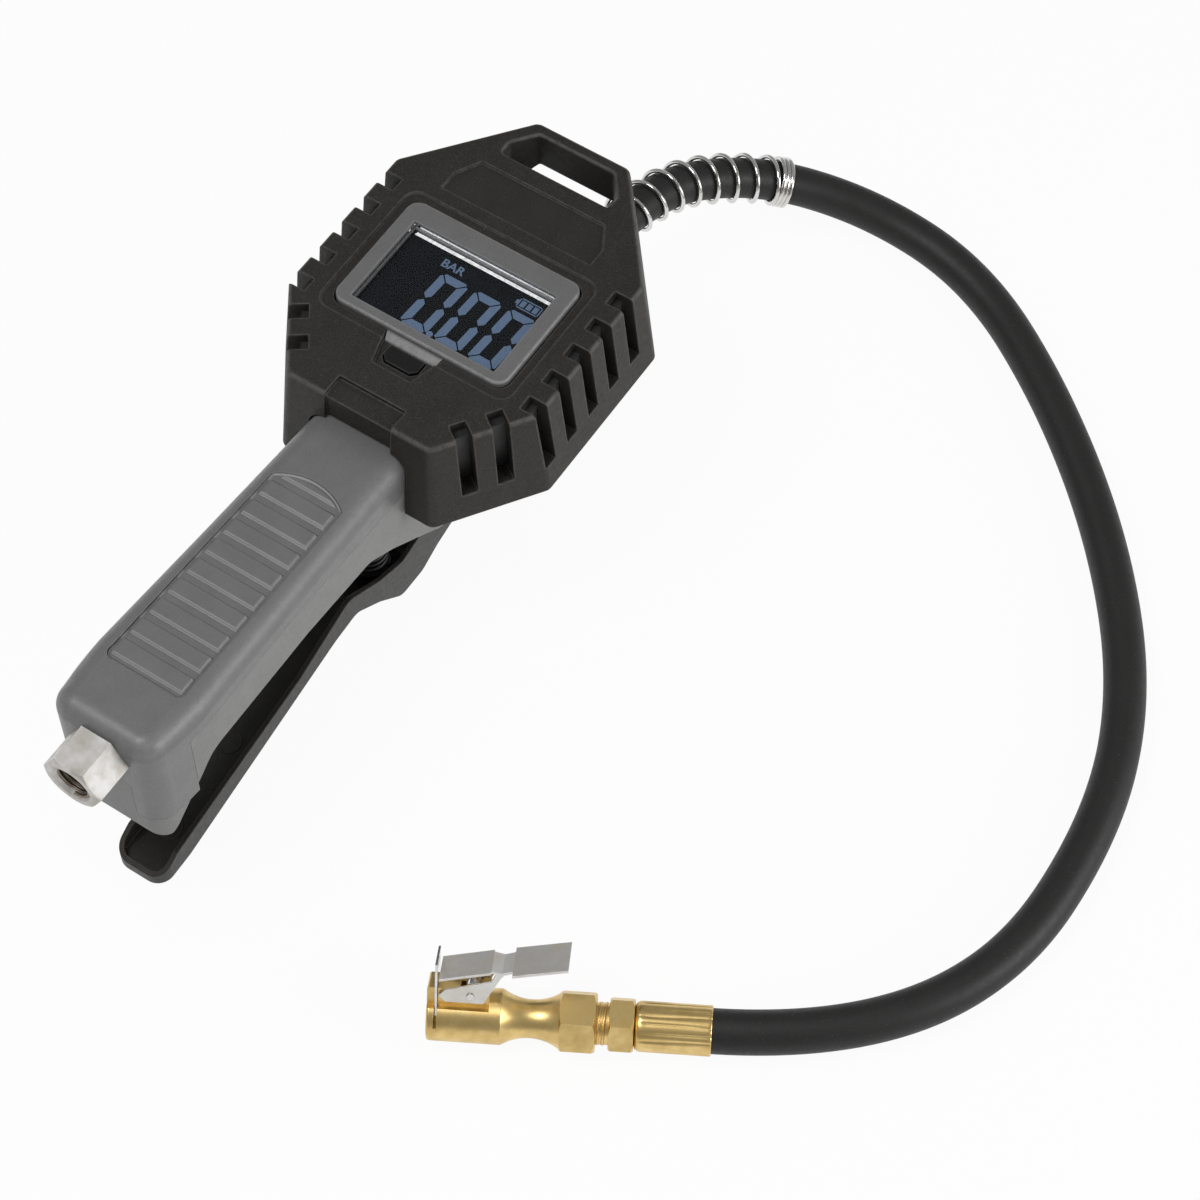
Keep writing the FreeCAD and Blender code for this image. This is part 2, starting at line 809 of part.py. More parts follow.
def cut_slots(body):
    """Cuts the slots down both long sides and both lower corners, over the edge of the face."""
    sketch = sketch_on(body, "XY")
    outside = s.boot_side_half + 8
    for hand in (-1, 1):
        for place_in_row in range(SIZES["slot_count"]):
            middle = -s.slot_first + s.slot_pitch * place_in_row
            add_loop(sketch, middle_box(middle, (outside + s.boot_side_half - s.slot_reach) * 0.5 * hand,
                                        s.slot_wide * 0.5, (outside - s.boot_side_half + s.slot_reach) * 0.5))
        along, across = heading(BOOT[1], BOOT[0])
        for place_in_row in range(SIZES["low_slot_count"]):
            reach = s.low_slot_first + s.slot_pitch * place_in_row
            loop = []
            for forward, outward in ((-0.5, -1), (0.5, -1), (0.5, 1), (-0.5, 1)):
                step = reach + s.slot_wide * forward
                out = s.slot_reach * -1 if outward < 0 else size_of(8)
                loop.append((BOOT[1][0] + along * step + across * out,
                             (BOOT[1][1] + across * step - along * out) * hand))
            add_loop(sketch, loop)
    pocket(body, sketch, s.slot_deep)


def make_front_shell():
    """The housing's upper half, with the bezel that stands up through the boot."""
    body = body_in("gauge_front_shell", HEAD)
    pad(body, outline(body, "XY", mirrored(HOUSING), -HOUSING_TOP), s.housing_split - HOUSING_TOP, back=True)
    rounded(body, s.boot_corner, along="z")
    room = ended(half_inset(BOOT, HOUSING_TOP + s.housing_wall), s.housing_end - s.housing_wall)
    pocket(body, outline(body, "XY", mirrored(room), -s.housing_split), s.housing_split - PLATE_UNDER,
           back=True)
    bezel = box(-s.bezel_low, s.bezel_high, -s.bezel_half, s.bezel_half)
    pad(body, outline(body, "XY", bezel, -HOUSING_TOP), HOUSING_TOP + s.bezel_proud)
    rounded(body, s.bezel_corner, x=(-s.bezel_low, s.bezel_high), z=(-HOUSING_TOP, s.bezel_proud),
            side=(s.bezel_half, s.bezel_half), along="z")
    bevel = [(s.bezel_high - s.bezel_bevel, s.bezel_proud), (s.bezel_high, s.bezel_proud - s.bezel_fall),
             (s.bezel_high + 1, s.bezel_proud - s.bezel_fall), (s.bezel_high + 1, s.bezel_proud + 1),
             (s.bezel_high - s.bezel_bevel, s.bezel_proud + 1)]
    rounded(body, s.bezel_edge, z=(s.bezel_proud, s.bezel_proud))
    pocket(body, outline(body, "XZ", bevel), s.bezel_half * 3, even=True)
    window = box(-s.window_low, s.window_high, -s.window_half, s.window_half)
    pocket(body, outline(body, "XY", window, s.bezel_proud), s.lens_deep + s.lens_thick)
    view = box(-s.window_low + s.window_ledge, s.window_high - s.window_ledge,
               -s.window_half + s.window_ledge, s.window_half - s.window_ledge)
    pocket(body, outline(body, "XY", view, s.bezel_proud), PLATE_UNDER + s.bezel_proud)
    seat = box(-s.window_low - s.panel_margin, s.window_high + s.panel_margin,
               -s.window_half - s.panel_margin, s.window_half + s.panel_margin)
    pocket(body, outline(body, "XY", seat, -PLATE_UNDER), PLATE_UNDER - PANEL_TOP, back=True)
    posts = sketch_on(body, "XY", -PLATE_UNDER)
    for across, up in POSTS:
        add_disc(posts, across, up, s.post_radius)
    pad(body, posts, s.board_deep - PLATE_UNDER, back=True)
    holes = sketch_on(body, "XY", -s.board_deep)
    for across, up in POSTS:
        add_disc(holes, across, up, s.screw_shank)
    pocket(body, holes, s.screw_bite + s.rest_gap, back=True)
    pocket(body, outline(body, "XY", button_outline(s.button_fit)), s.boot_deep * 0.5)
    return body


def make_rear_shell():
    """The housing's lower half, with a battery bay that opens downwards and four screw posts."""
    body = body_in("gauge_rear_shell", HEAD)
    pad(body, outline(body, "XY", mirrored(HOUSING), -s.housing_split - s.shell_gap),
        s.housing_deep - s.housing_split - s.shell_gap, back=True)
    rounded(body, s.boot_corner, along="z")
    rounded(body, s.housing_edge, z=(-s.housing_deep, -s.housing_deep))
    room = ended(half_inset(BOOT, HOUSING_TOP + s.housing_wall), s.housing_end - s.housing_wall)
    pocket(body, outline(body, "XY", mirrored(room), -s.housing_split),
           s.housing_deep - s.housing_split - s.housing_wall)
    floor = -s.housing_deep + s.housing_wall * 0.5
    bay_x, bay_y = s.bay_x, s.bay_y
    bay = middle_box(bay_x, bay_y, s.bay_half_long + s.bay_wall, s.bay_half_wide + s.bay_wall)
    pad(body, outline(body, "XY", bay, floor), s.bay_tall + s.bay_wall - s.housing_wall * 0.5)
    posts = sketch_on(body, "XY", floor)
    for across, up in POSTS:
        add_disc(posts, across, up, s.post_radius)
    pad(body, posts, s.housing_deep - BOARD_UNDER - s.housing_wall * 0.5)
    tab_x = bay_x + s.bay_half_long + s.cover_lip + s.cover_tab * 0.5
    pad(body, disc(body, "XY", tab_x, bay_y, s.post_radius, floor), s.screw_bite * 2)
    cells = middle_box(bay_x, bay_y, s.bay_half_long, s.bay_half_wide)
    pocket(body, outline(body, "XY", cells, -s.housing_deep), s.bay_tall, back=True)
    lip = box(bay_x - s.bay_half_long - s.cover_lip, bay_x + s.bay_half_long + s.cover_lip + s.cover_tab,
              bay_y - s.bay_half_wide - s.cover_lip, bay_y + s.bay_half_wide + s.cover_lip)
    pocket(body, outline(body, "XY", lip, -s.housing_deep), s.cover_thick, back=True)
    pocket(body, disc(body, "XY", tab_x, bay_y, s.screw_shank, -s.housing_deep),
           s.cover_thick + s.screw_bite + s.rest_gap, back=True)
    shanks = sketch_on(body, "XY", -s.housing_deep)
    for across, up in POSTS:
        add_disc(shanks, across, up, s.screw_shank + s.pin_fit)
    add_disc(shanks, s.sensor_x, 0, s.sensor_pipe + s.rest_gap)
    pocket(body, shanks, s.housing_deep, back=True)
    heads = sketch_on(body, "XY", -s.housing_deep)
    for across, up in POSTS:
        add_disc(heads, across, up, s.screw_head + s.pipe_fit)
    pocket(body, heads, s.screw_sink + s.screw_head_tall, back=True)
    return body


def make_screw(name, frame, shift, length):
    """A pan-headed screw that points up, drawn from the underside of its head."""
    body = body_in(name, frame, shift)
    turned(body, "XZ", "V_Axis", [(0, -s.screw_head_tall), (s.screw_head * 0.6, -s.screw_head_tall),
                                  (s.screw_head, -s.screw_head_tall * 0.4), (s.screw_head, 0),
                                  (s.screw_shank, 0), (s.screw_shank, length - s.screw_shank),
                                  (0, length)])
    cross = middle_box(0, 0, s.screw_head * 0.6, s.screw_head * 0.14)
    pocket(body, outline(body, "XY", cross, -s.screw_head_tall), s.screw_head_tall * 0.5, back=True)
    cross = middle_box(0, 0, s.screw_head * 0.14, s.screw_head * 0.6)
    pocket(body, outline(body, "XY", cross, -s.screw_head_tall), s.screw_head_tall * 0.5, back=True)
    return body


def make_group(name, members):
    """Like fasteners kept together as separate solids."""
    group = doc.addObject("Part::Compound", name)
    group.Label = name
    group.Links = members
    return group


def make_shell_screws():
    head_at = s.housing_deep - s.screw_sink - s.screw_head_tall
    length = head_at - s.board_deep + s.screw_bite
    screws = [make_screw("shell_screw_%d" % number, HEAD, (across, up, -head_at), length)
              for number, (across, up) in enumerate(POSTS, 1)]
    return make_group("shell_screws", screws)


def make_cover():
    """The battery cover, flush with the underside, with a tab for its screw."""
    body = body_in("battery_cover", HEAD)
    gap = s.cover_fit
    x, y = s.bay_x, s.bay_y
    plan = box(x - s.bay_half_long - s.cover_lip + gap, x + s.bay_half_long + s.cover_lip + s.cover_tab - gap,
               y - s.bay_half_wide - s.cover_lip + gap, y + s.bay_half_wide + s.cover_lip - gap)
    pad(body, outline(body, "XY", plan, -s.housing_deep), s.cover_thick - s.pipe_fit)
    tab_x = x + s.bay_half_long + s.cover_lip + s.cover_tab * 0.5
    pocket(body, disc(body, "XY", tab_x, y, s.screw_shank + s.pin_fit, -s.housing_deep), s.cover_thick,
           back=True)
    return body


def make_cover_screw():
    tab_x = s.bay_x + s.bay_half_long + s.cover_lip + s.cover_tab * 0.5
    return make_screw("battery_cover_screw", HEAD, (tab_x, s.bay_y, -s.housing_deep),
                      s.cover_thick + s.screw_bite)


def make_cell(name, hand):
    """One cell along the bay, against the contact at its far end."""
    room = s.bay_half_long - s.contact_thick * 2
    body = body_in(name, HEAD, (s.bay_x, s.bay_y + s.cell_radius * hand * 1.02,
                                -s.housing_deep + s.bay_tall - s.cell_radius - s.rest_gap))
    start = room - s.cell_long - s.nub_long
    turned(body, "XZ", "H_Axis", [(start, 0), (start, s.cell_radius), (start + s.cell_long, s.cell_radius),
                                  (start + s.cell_long, s.nub_radius), (room, s.nub_radius), (room, 0)])
    return body


def make_contacts():
    """The bay's end plates, and a conical spring behind each cell."""
    plates = []
    level = -s.housing_deep + s.bay_tall - s.cell_radius - s.rest_gap
    start = s.bay_half_long - s.contact_thick * 2 - s.cell_long - s.nub_long
    for number, end in enumerate((-1, 1), 1):
        plate = body_in("contact_plate_%d" % number, HEAD, (s.bay_x, s.bay_y, level))
        inner = (s.bay_half_long - s.contact_thick) * end
        pad(plate, outline(plate, "YZ", middle_box(0, 0, s.bay_half_wide - s.rest_gap, s.cell_radius - 1),
                           inner),
            s.contact_thick, back=(end < 0))
        plates.append(plate)
    for number, hand in enumerate((-1, 1), 1):
        coil = body_in("contact_spring_%d" % number, HEAD,
                       (s.bay_x, s.bay_y + s.cell_radius * hand * 1.02, level))
        turned(coil, "XZ", "H_Axis", [(-s.bay_half_long + s.contact_thick, 0),
                                      (-s.bay_half_long + s.contact_thick, s.cell_radius - 1.4),
                                      (start, s.nub_radius * 0.7), (start, 0)])
        plates.append(coil)
    return make_group("battery_contacts", plates)


def make_lens():
    body = body_in("lcd_window", HEAD)
    gap = s.lens_fit
    plan = box(-s.window_low + gap, s.window_high - gap, -s.window_half + gap, s.window_half - gap)
    pad(body, outline(body, "XY", plan, s.bezel_proud - s.lens_deep), s.lens_thick, back=True)
    return body


def make_panel():
    body = body_in("lcd_panel", HEAD)
    grow = s.panel_margin - s.lens_fit
    plan = box(-s.window_low - grow, s.window_high + grow, -s.window_half - grow, s.window_half + grow)
    pad(body, outline(body, "XY", plan, -PANEL_TOP - s.pipe_fit), s.panel_thick, back=True)
    return body


def make_strips():
    """The two rubber strips that join the display to the board."""
    top = PANEL_TOP + s.pipe_fit + s.panel_thick
    strips = []
    for number, edge in enumerate((-s.window_low, s.window_high - s.strip_thick), 1):
        strip = body_in("connector_strip_%d" % number, HEAD)
        plan = box(edge, edge + s.strip_thick, -s.window_half, s.window_half)
        pad(strip, outline(strip, "XY", plan, -top), s.board_deep - top, back=True)
        strips.append(strip)
    return make_group("display_connectors", strips)


def make_board():
    body = body_in("circuit_board", HEAD)
    room = ended(half_inset(BOOT, HOUSING_TOP + s.housing_wall + s.board_gap),
                 s.housing_end - s.housing_wall - s.board_gap)
    pad(body, outline(body, "XY", mirrored(room), -s.board_deep), s.board_thick, back=True)
    holes = sketch_on(body, "XY", -s.board_deep)
    for across, up in POSTS:
        add_disc(holes, across, up, s.screw_shank + s.rest_gap)
    pocket(body, holes, s.board_thick * 2)
    return body


def make_sensor():
    """A canned pressure sensor under the board, and the tube that leads to it."""
    sensor = body_in("pressure_sensor", HEAD, (s.sensor_x, 0, -BOARD_UNDER))
    turned(sensor, "XZ", "V_Axis", [(0, 0), (0, -s.sensor_tall), (s.sensor_radius * 0.7, -s.sensor_tall),
                                    (s.sensor_radius * 0.7, -s.sensor_tall * 0.7),
                                    (s.sensor_radius, -s.sensor_tall * 0.7), (s.sensor_radius, 0)])
    top = BOARD_UNDER + s.sensor_tall
    tube = body_in("sensor_tube", HEAD, (s.sensor_x, 0, -top))
    ring = sketch_on(tube, "XY")
    add_disc(ring, 0, 0, s.sensor_pipe)
    add_disc(ring, 0, 0, s.sensor_way)
    pad(tube, ring, s.outlet_deep - s.pipe_radius - s.tee_rise - top, back=True)
    return [sensor, tube]


def make_button():
    """The display's button, with a flange that keeps it under the housing's plate."""
    body = body_in("unit_button", HEAD)
    top = s.dish_deep - s.button_travel
    pad(body, outline(body, "XY", button_outline(size_of(0)), -top), BUTTON_FOOT - top, back=True)
    pad(body, outline(body, "XY", button_outline(s.button_flange), -PLATE_UNDER - s.shell_gap),
        s.button_flange, back=True)
    rounded(body, s.button_fit, z=(-top, -top))
    return body


def make_switch():
    """The push switch on the board under the button."""
    middle = (s.button_low + s.button_high) * -0.5
    body = body_in("button_switch", HEAD, (middle, 0, -s.board_deep))
    tall = s.board_deep - BUTTON_FOOT - s.button_travel
    pad(body, outline(body, "XY", middle_box(0, 0, s.switch_half, s.switch_half)), tall * 0.7)
    pad(body, disc(body, "XY", 0, 0, s.switch_half * 0.6, tall * 0.7), tall * 0.3 - s.shell_gap)
    return body


# Grip


def make_upper_shell():
    """The grip's upper half, whose end wall holds the inlet between two ears."""
    blank = body_in("grip_blank", HEAD)
    plan = outline(blank, "XY", mirrored(HALF_GRIP), -s.grip_top, grip_bows(HALF_GRIP))
    pad(blank, plan, s.ear_deep, back=True)
    rounded(blank, s.grip_edge, x=(-s.grip_end, -GRIP_START - 1), z=(-s.grip_top, -s.grip_top))
    body = body_in("handle_upper_shell", HEAD)
    body.BaseFeature = sloped(blank)
    front = GRIP_START - 1
    floor = box(-s.grip_end - 9, 0, -s.grip_wide_half - 9, s.grip_wide_half + 9)
    pocket(body, outline(body, "XY", floor, -s.ear_deep), s.ear_deep)
    below = -s.ear_deep - 1
    seam = [(-GRIP_START + 1, below), (-GRIP_START + 1, -s.seam_start), (-GRIP_START, -s.seam_start),
            (-s.grip_waist, -s.seam_waist), (-GRIP_WIDE, -s.seam_end), (-EAR_START, -s.seam_end),
            (-EAR_START, below)]
    pocket(body, outline(body, "XZ", seam), s.grip_wide_half * 3, even=True)
    shelf = box(-s.grip_end - 1, -EAR_START, -s.ear_half, s.ear_half)
    pocket(body, outline(body, "XY", shelf, -s.ear_shelf), s.ear_deep)
    room = mirrored([(-EAR_START + s.grip_wall, s.grip_wide_half - s.grip_wall * 1.5),
                     (-GRIP_WIDE, s.grip_wide_half - s.grip_wall),
                     (-s.grip_waist, s.grip_waist_half - s.grip_wall),
                     (-GRIP_START + 1, s.grip_start_half - s.grip_wall)])
    ceiling = top_at(GRIP_START) + s.grip_roof
    pocket(body, outline(body, "XY", room, -ceiling), s.ear_deep)
    start = EAR_START - s.grip_wall
    under = [(-start, -top_at(start) - s.grip_roof), (-front, -top_at(front) - s.grip_roof), (-front,
                                                                                              -ceiling - 1),
             (-start, -ceiling - 1)]
    pocket(body, outline(body, "XZ", under), (s.grip_start_half - s.grip_wall) * 2, even=True)
    pocket(body, disc(body, "YZ", 0, -s.inlet_deep, s.inlet_neck + s.pin_fit, -HEEL_START), s.grip_end * 0.3)
    recess = on_slope(outline(body, "XY", pad_outline(size_of(0)), -top_at(0), {1: s.pad_bow}))
    pocket(body, recess, s.pad_sunk)
    rounded(body, s.pad_corner, x=(-PAD_END - 1, -PAD_END + 1), z=(-top_at(PAD_END) - s.pad_sunk - 1,
                                                                   -s.grip_top),
            side=(s.pad_half, s.pad_half), along="z")
    return body


def sloped(blank):
    """A block sheared so that its flat top falls towards the head while its sides stay upright."""
    doc.recompute()
    lean = FreeCAD.Matrix()
    lean.A31 = -TOP_FALL.value
    lean.A34 = -TOP_FALL.value * s.grip_end.value
    shape = blank.Tip.Shape.transformGeometry(lean)
    return feature("grip_slope", shape)


def pad_outline(margin):
    """The grip pad's plan, moved in by a margin; its end by the head is an arc."""
    return mirrored([(-PAD_END + margin, s.pad_half - margin), (-s.pad_shoulder, s.pad_start_half - margin)])


def make_grip_pad():
    """A soft pad with raised bars, let into the grip."""
    body = body_in("grip_pad", HEAD)
    top = top_at(0) - s.pad_proud
    plan = on_slope(outline(body, "XY", pad_outline(s.pad_fit), -top, {1: s.pad_bow - s.pad_fit}))
    pad(body, plan, s.pad_sunk + s.pad_proud - s.rest_gap, back=True)
    rounded(body, s.pad_corner, x=(-PAD_END - 1, -PAD_END + 1), along="z")
    sketch = on_slope(sketch_on(body, "XY", -top))
    pitch = (PAD_END - s.pad_shoulder) / s.pad_bars
    for number in range(1, SIZES["pad_bars"]):
        middle = -PAD_END + pitch * number
        add_loop(sketch, middle_box(middle, 0, s.groove_wide * 0.5, s.pad_start_half - s.groove_margin))
    pocket(body, sketch, s.groove_deep)
    return body


def make_lower_shell():
    """The grip's lower half, the valve chest under the head and the lever's lug, in one moulding."""
    body = body_in("handle_lower_shell", HEAD)
    gap = s.shell_gap
    side = [(s.chest_end, -s.chest_low - gap), (-GRIP_START, -s.chest_low - gap), (-GRIP_START,
                                                                                   -s.seam_start - gap),
            (-s.grip_waist, -s.seam_waist - gap), (-GRIP_WIDE, -s.seam_end - gap),
            (-EAR_START + gap, -s.seam_end - gap), (-EAR_START + gap, -s.ear_shelf - gap),
            (-s.grip_end, -s.ear_shelf - gap), (-s.grip_end, -s.heel_bottom + 1), (-HEEL_TIP, -s.heel_bottom),
            (-HEEL_MID, -s.heel_mid_bottom), (-HEEL_START, -s.wide_bottom), (-s.grip_waist, -s.waist_bottom),
            (-s.neck_start, -s.neck_bottom), (-s.neck_mid, -s.neck_mid_bottom), (-s.neck_low,
                                                                                 -s.chest_bottom),
            (s.chest_end - s.chest_slope, -s.chest_bottom), (s.chest_end, -s.chest_end_bottom)]
    pad(body, outline(body, "XZ", side), (s.grip_wide_half + 3) * 2, even=True)
    rounded(body, s.heel_round, x=(-HEEL_MID, -HEEL_START), z=(-s.heel_mid_bottom, -s.wide_bottom), along="y")
    rounded(body, s.neck_round, x=(-s.neck_start, -s.neck_mid), z=(-s.neck_mid_bottom, -s.neck_bottom),
            along="y")
    rounded(body, s.neck_round, x=(-s.neck_low, -s.neck_low), z=(-s.chest_bottom, -s.chest_bottom), along="y")
    rounded(body, s.heel_edge, x=(-s.grip_end, -HEEL_TIP), z=(-s.heel_bottom, -s.heel_bottom + 1), along="y")
    trim = sketch_on(body, "XY")
    add_loop(trim, box(-s.grip_end - 9, s.chest_end + 9, -s.grip_wide_half - 9, s.grip_wide_half + 9))
    plan = HALF_GRIP + [(s.chest_end, s.chest_half)]
    add_loop(trim, mirrored(plan), grip_bows(plan))
    pocket(body, trim, s.chest_bottom + 9)
    for hand in (-1, 1):
        low = (s.ear_half - gap) * hand
        ear = box(-s.grip_end - 9, -EAR_START + gap, low, low + s.grip_wide_half * hand)
        pocket(body, outline(body, "XY", ear, -s.ear_shelf + 2), s.ear_deep - s.ear_shelf + 2 + gap)
    hollow_grip(body)
    fit_valve_seat(body)
    hollow_chest(body)
    add_lug(body)
    return body


def hollow_grip(body):
    """Opens the lower shell towards the seam, as deep as its floor allows."""
    floor = s.grip_wall
    room = [(-HEEL_START, -s.seam_end + 3), (-HEEL_START, -s.wide_bottom + floor),
            (-s.grip_waist, -s.waist_bottom + floor), (-s.neck_start, -s.neck_bottom + floor),
            (-s.valve_x - s.guide_radius, -s.valve_shoulder), (-GRIP_START, -s.valve_shoulder),
            (-GRIP_START, -s.seam_waist)]
    pocket(body, outline(body, "XZ", room), (s.grip_start_half - s.grip_wall) * 2, even=True)
    neck = disc(body, "YZ", 0, -s.inlet_deep, s.inlet_neck + s.pin_fit, -HEEL_START + 1)
    pocket(body, neck, s.grip_end - HEEL_START + 1)


def fit_valve_seat(body):
    """The bored boss that holds the valve and guides the plunger."""
    top = -s.valve_shoulder
    pad(body, disc(body, "XY", -s.valve_x, 0, s.guide_radius, top), s.guide_bottom - s.valve_shoulder,
        back=True)
    rounded(body, s.guide_edge, z=(-s.guide_bottom, -s.guide_bottom))
    pocket(body, disc(body, "XY", -s.valve_x, 0, s.valve_radius + s.pin_fit, top),
           s.valve_foot + s.ring_wire * 2 - s.valve_shoulder)
    pocket(body, disc(body, "XY", -s.valve_x, 0, s.plunger_radius + s.plunger_fit, top), s.guide_bottom)


def hollow_chest(body):
    """The room for the outlet pipe, and the bore and socket at the hose end."""
    low = -s.valve_x + s.guide_radius + s.chest_wall
    high = s.outlet_start + s.outlet_nut
    wide = s.chest_half - s.chest_wall
    pocket(body, outline(body, "XY", box(low, high, -wide, wide), -s.chest_low),
           s.chest_bottom - s.chest_floor - s.chest_low)
    pocket(body, disc(body, "YZ", 0, -s.outlet_deep, s.pipe_radius + s.pipe_fit, low + 1),
           low + 1 + s.valve_x)
    pocket(body, disc(body, "YZ", 0, -s.outlet_deep, s.outlet_radius + s.pin_fit, high - 1),
           s.chest_end, back=True)
    pocket(body, disc(body, "YZ", 0, -s.outlet_deep, GUARD_RADIUS + s.socket_gap, s.outlet_end),
           s.chest_end, back=True)


def add_lug(body):
    """The lug that carries the lever's pin."""
    x, z, reach = -s.pivot_back, -s.pivot_deep, s.lug_radius
    web = [(x - reach, z), (x + reach, z), (x + reach * 1.5, -s.chest_bottom + 1),
           (x - reach * 1.5, -s.chest_bottom + 1)]
    pad(body, outline(body, "XZ", web), s.lug_half * 2, even=True)
    pad(body, disc(body, "XZ", x, z, reach), s.lug_half * 2, even=True)
    pocket(body, disc(body, "XZ", x, z, s.pin_radius), s.lug_half * 3, even=True)


# Air way from the inlet to the hose


def bored(body, plane, axis, points, bows=None):
    """Cuts a full turn of a half outline out of a body."""
    sketch = outline(body, plane, points, bows=bows)
    feature = body.newObject("PartDesign::Groove", "groove")
    feature.Profile = sketch
    feature.ReferenceAxis = (sketch, [axis])
    feature.Angle = 360
    return feature


def make_inlet():
    """The threaded inlet with its hexagon outside the grip and its neck in the end wall."""
    body = body_in("inlet_adapter", HEAD, (-s.grip_end, 0, -s.inlet_deep))
    pad(body, outline(body, "YZ", hexagon(s.inlet_hex), -s.inlet_long), s.inlet_long)
    pad(body, disc(body, "YZ", 0, 0, s.inlet_neck), s.inlet_back)
    mouth = -s.inlet_long
    foot = mouth + s.inlet_thread
    seat = foot + s.rest_gap + s.filter_thick
    bored(body, "XZ", "H_Axis", [(mouth, 0), (mouth, s.inlet_mouth),
                                 (mouth + s.inlet_mouth - s.inlet_bore, s.inlet_bore), (foot, s.inlet_bore),
                                 (foot, s.filter_radius), (seat, s.filter_radius), (seat, s.pipe_way),
                                 (s.inlet_back - s.outlet_nut, s.pipe_way),
                                 (s.inlet_back - s.outlet_nut, s.pipe_radius + s.pin_fit),
                                 (s.inlet_back, s.pipe_radius + s.pin_fit), (s.inlet_back, 0)])
    trim_corners(body, s.inlet_hex, mouth, 1)
    return body


def trim_corners(body, flat, level, way):
    """Turns the corners of a hexagon down at one end, as a lathe leaves them; way is the way inwards."""
    corner = flat / size_of(math.sqrt(3))
    start, far = flat * 0.5, corner * 1.1
    bored(body, "XZ", "H_Axis", [(level, start), (level, far), (level + (far - start) * 0.6 * way, far)])


def make_filter():
    """A sintered disc in a seat below the inlet's thread."""
    start = -s.grip_end - s.inlet_long + s.inlet_thread + s.rest_gap
    body = body_in("inlet_filter", HEAD, (start, 0, -s.inlet_deep))
    pad(body, disc(body, "YZ", 0, 0, s.filter_radius - s.pin_fit), s.filter_thick)
    return body


def path_through(points):
    """Straight runs joined by tangent arcs, each as large as its two runs allow, with the arcs' radii."""
    edges, radii = [], []
    start = points[0]
    for before, corner, after in zip(points, points[1:], points[2:]):
        inward, outward = corner - before, after - corner
        half_turn = inward.getAngle(outward) / 2
        reach = 0.45 * min(inward.Length, outward.Length)
        inward, outward = inward.normalize(), outward.normalize()
        first, last = corner - inward * reach, corner + outward * reach
        radius = reach / math.tan(half_turn)
        bisector = (outward - inward).normalize()
        crown = corner + bisector * (radius / math.cos(half_turn) - radius)
        edges.append(Part.LineSegment(start, first).toShape())
        edges.append(Part.Arc(first, crown, last).toShape())
        radii.append(radius)
        start = last
    edges.append(Part.LineSegment(start, points[-1]).toShape())
    return Part.Wire(edges), radii


def swept(path, radius):
    """A round rod along a path."""
    first = path.Edges[0]
    start = first.valueAt(first.FirstParameter)
    ring = Part.Wire([Part.makeCircle(radius, start, first.tangentAt(first.FirstParameter))])
    return path.makePipeShell([ring], True, True)


def feature(name, shape, frame=(0, 0, 0)):
    """A labelled piece whose shape is worked out from the sheet's values."""
    piece = doc.addObject("Part::Feature", name)
    piece.Label = name
    piece.Shape = shape
    place(piece, [size_of(value) for value in frame])
    return piece


def make_air_pipe():
    """The pipe that leads down through the grip from the inlet to the valve."""
    start = -s.grip_end + s.inlet_back - s.outlet_nut
    end = -s.valve_x - s.valve_neck - s.nipple_long
    spots = [(start, -s.inlet_deep), (-s.pipe_bend, -s.inlet_deep), (-s.pipe_low, -s.inlet_port),
             (end, -s.inlet_port)]
    path, _ = path_through([FreeCAD.Vector(x.value, 0, z.value) for x, z in spots])
    shape = swept(path, s.pipe_radius.value).cut(swept(path, s.pipe_way.value))
    return feature("air_pipe", shape, HEAD)


def make_valve_body():
    """A stepped valve body: spring room, seat, and a chamber for the plunger's pusher."""
    body = body_in("valve_body", HEAD, (-s.valve_x, 0, 0))
    turned(body, "XZ", "V_Axis", [
        (s.valve_neck, -s.valve_top), (s.valve_neck, -s.valve_shoulder), (s.valve_radius, -s.valve_shoulder),
        (s.valve_radius, -s.valve_foot), (s.valve_chamber, -s.valve_foot), (s.valve_chamber,
                                                                            -s.valve_chamber_top),
        (s.valve_pusher_bore, -s.valve_chamber_top), (s.valve_pusher_bore, -s.valve_step),
        (s.valve_throat, -s.valve_step), (s.valve_throat, -s.valve_seat), (s.valve_room, -s.valve_seat),
        (s.valve_room, -s.valve_top)])
    nipple = -s.valve_neck - s.nipple_long
    pad(body, disc(body, "YZ", 0, -s.inlet_port, s.nipple_radius, nipple), s.nipple_long + 1)
    pocket(body, disc(body, "YZ", 0, -s.inlet_port, s.pipe_way), s.valve_x)
    pocket(body, disc(body, "YZ", 0, -s.outlet_deep, s.pipe_way), s.valve_x, back=True)
    return body


def make_valve_cap():
    body = body_in("valve_cap", HEAD, (-s.valve_x, 0, -s.valve_top))
    plug = s.valve_room - s.plunger_fit
    turned(body, "XZ", "V_Axis", [(0, -s.cap_plug), (plug, -s.cap_plug), (plug, 0), (s.valve_neck, 0),
                                  (s.valve_neck, s.cap_head), (0, s.cap_head)])
    return body


def make_poppet():
    """The poppet on its seat, with the stem that the plunger pushes."""
    body = body_in("valve_poppet", HEAD, (-s.valve_x, 0, -s.valve_seat + s.shell_gap))
    foot = s.valve_seat - s.shell_gap - s.stem_foot
    turned(body, "XZ", "V_Axis", [(0, foot), (s.stem_radius, foot), (s.stem_radius, 0), (s.poppet_radius, 0),
                                  (s.poppet_radius, s.poppet_tall), (0, s.poppet_tall)])
    return body


def coil(radius, wire, length, turns):
    """An open coil of round wire whose first turn starts at z = 0."""
    pitch = (length - 2 * wire) / turns
    helix = Part.makeLongHelix(pitch, pitch * turns, radius)
    heading_up = FreeCAD.Vector(0, 1, pitch / (2 * math.pi * radius))
    ring = Part.Wire([Part.makeCircle(wire, FreeCAD.Vector(radius, 0, 0), heading_up)])
    return Part.Wire(helix).makePipeShell([ring], True, True)


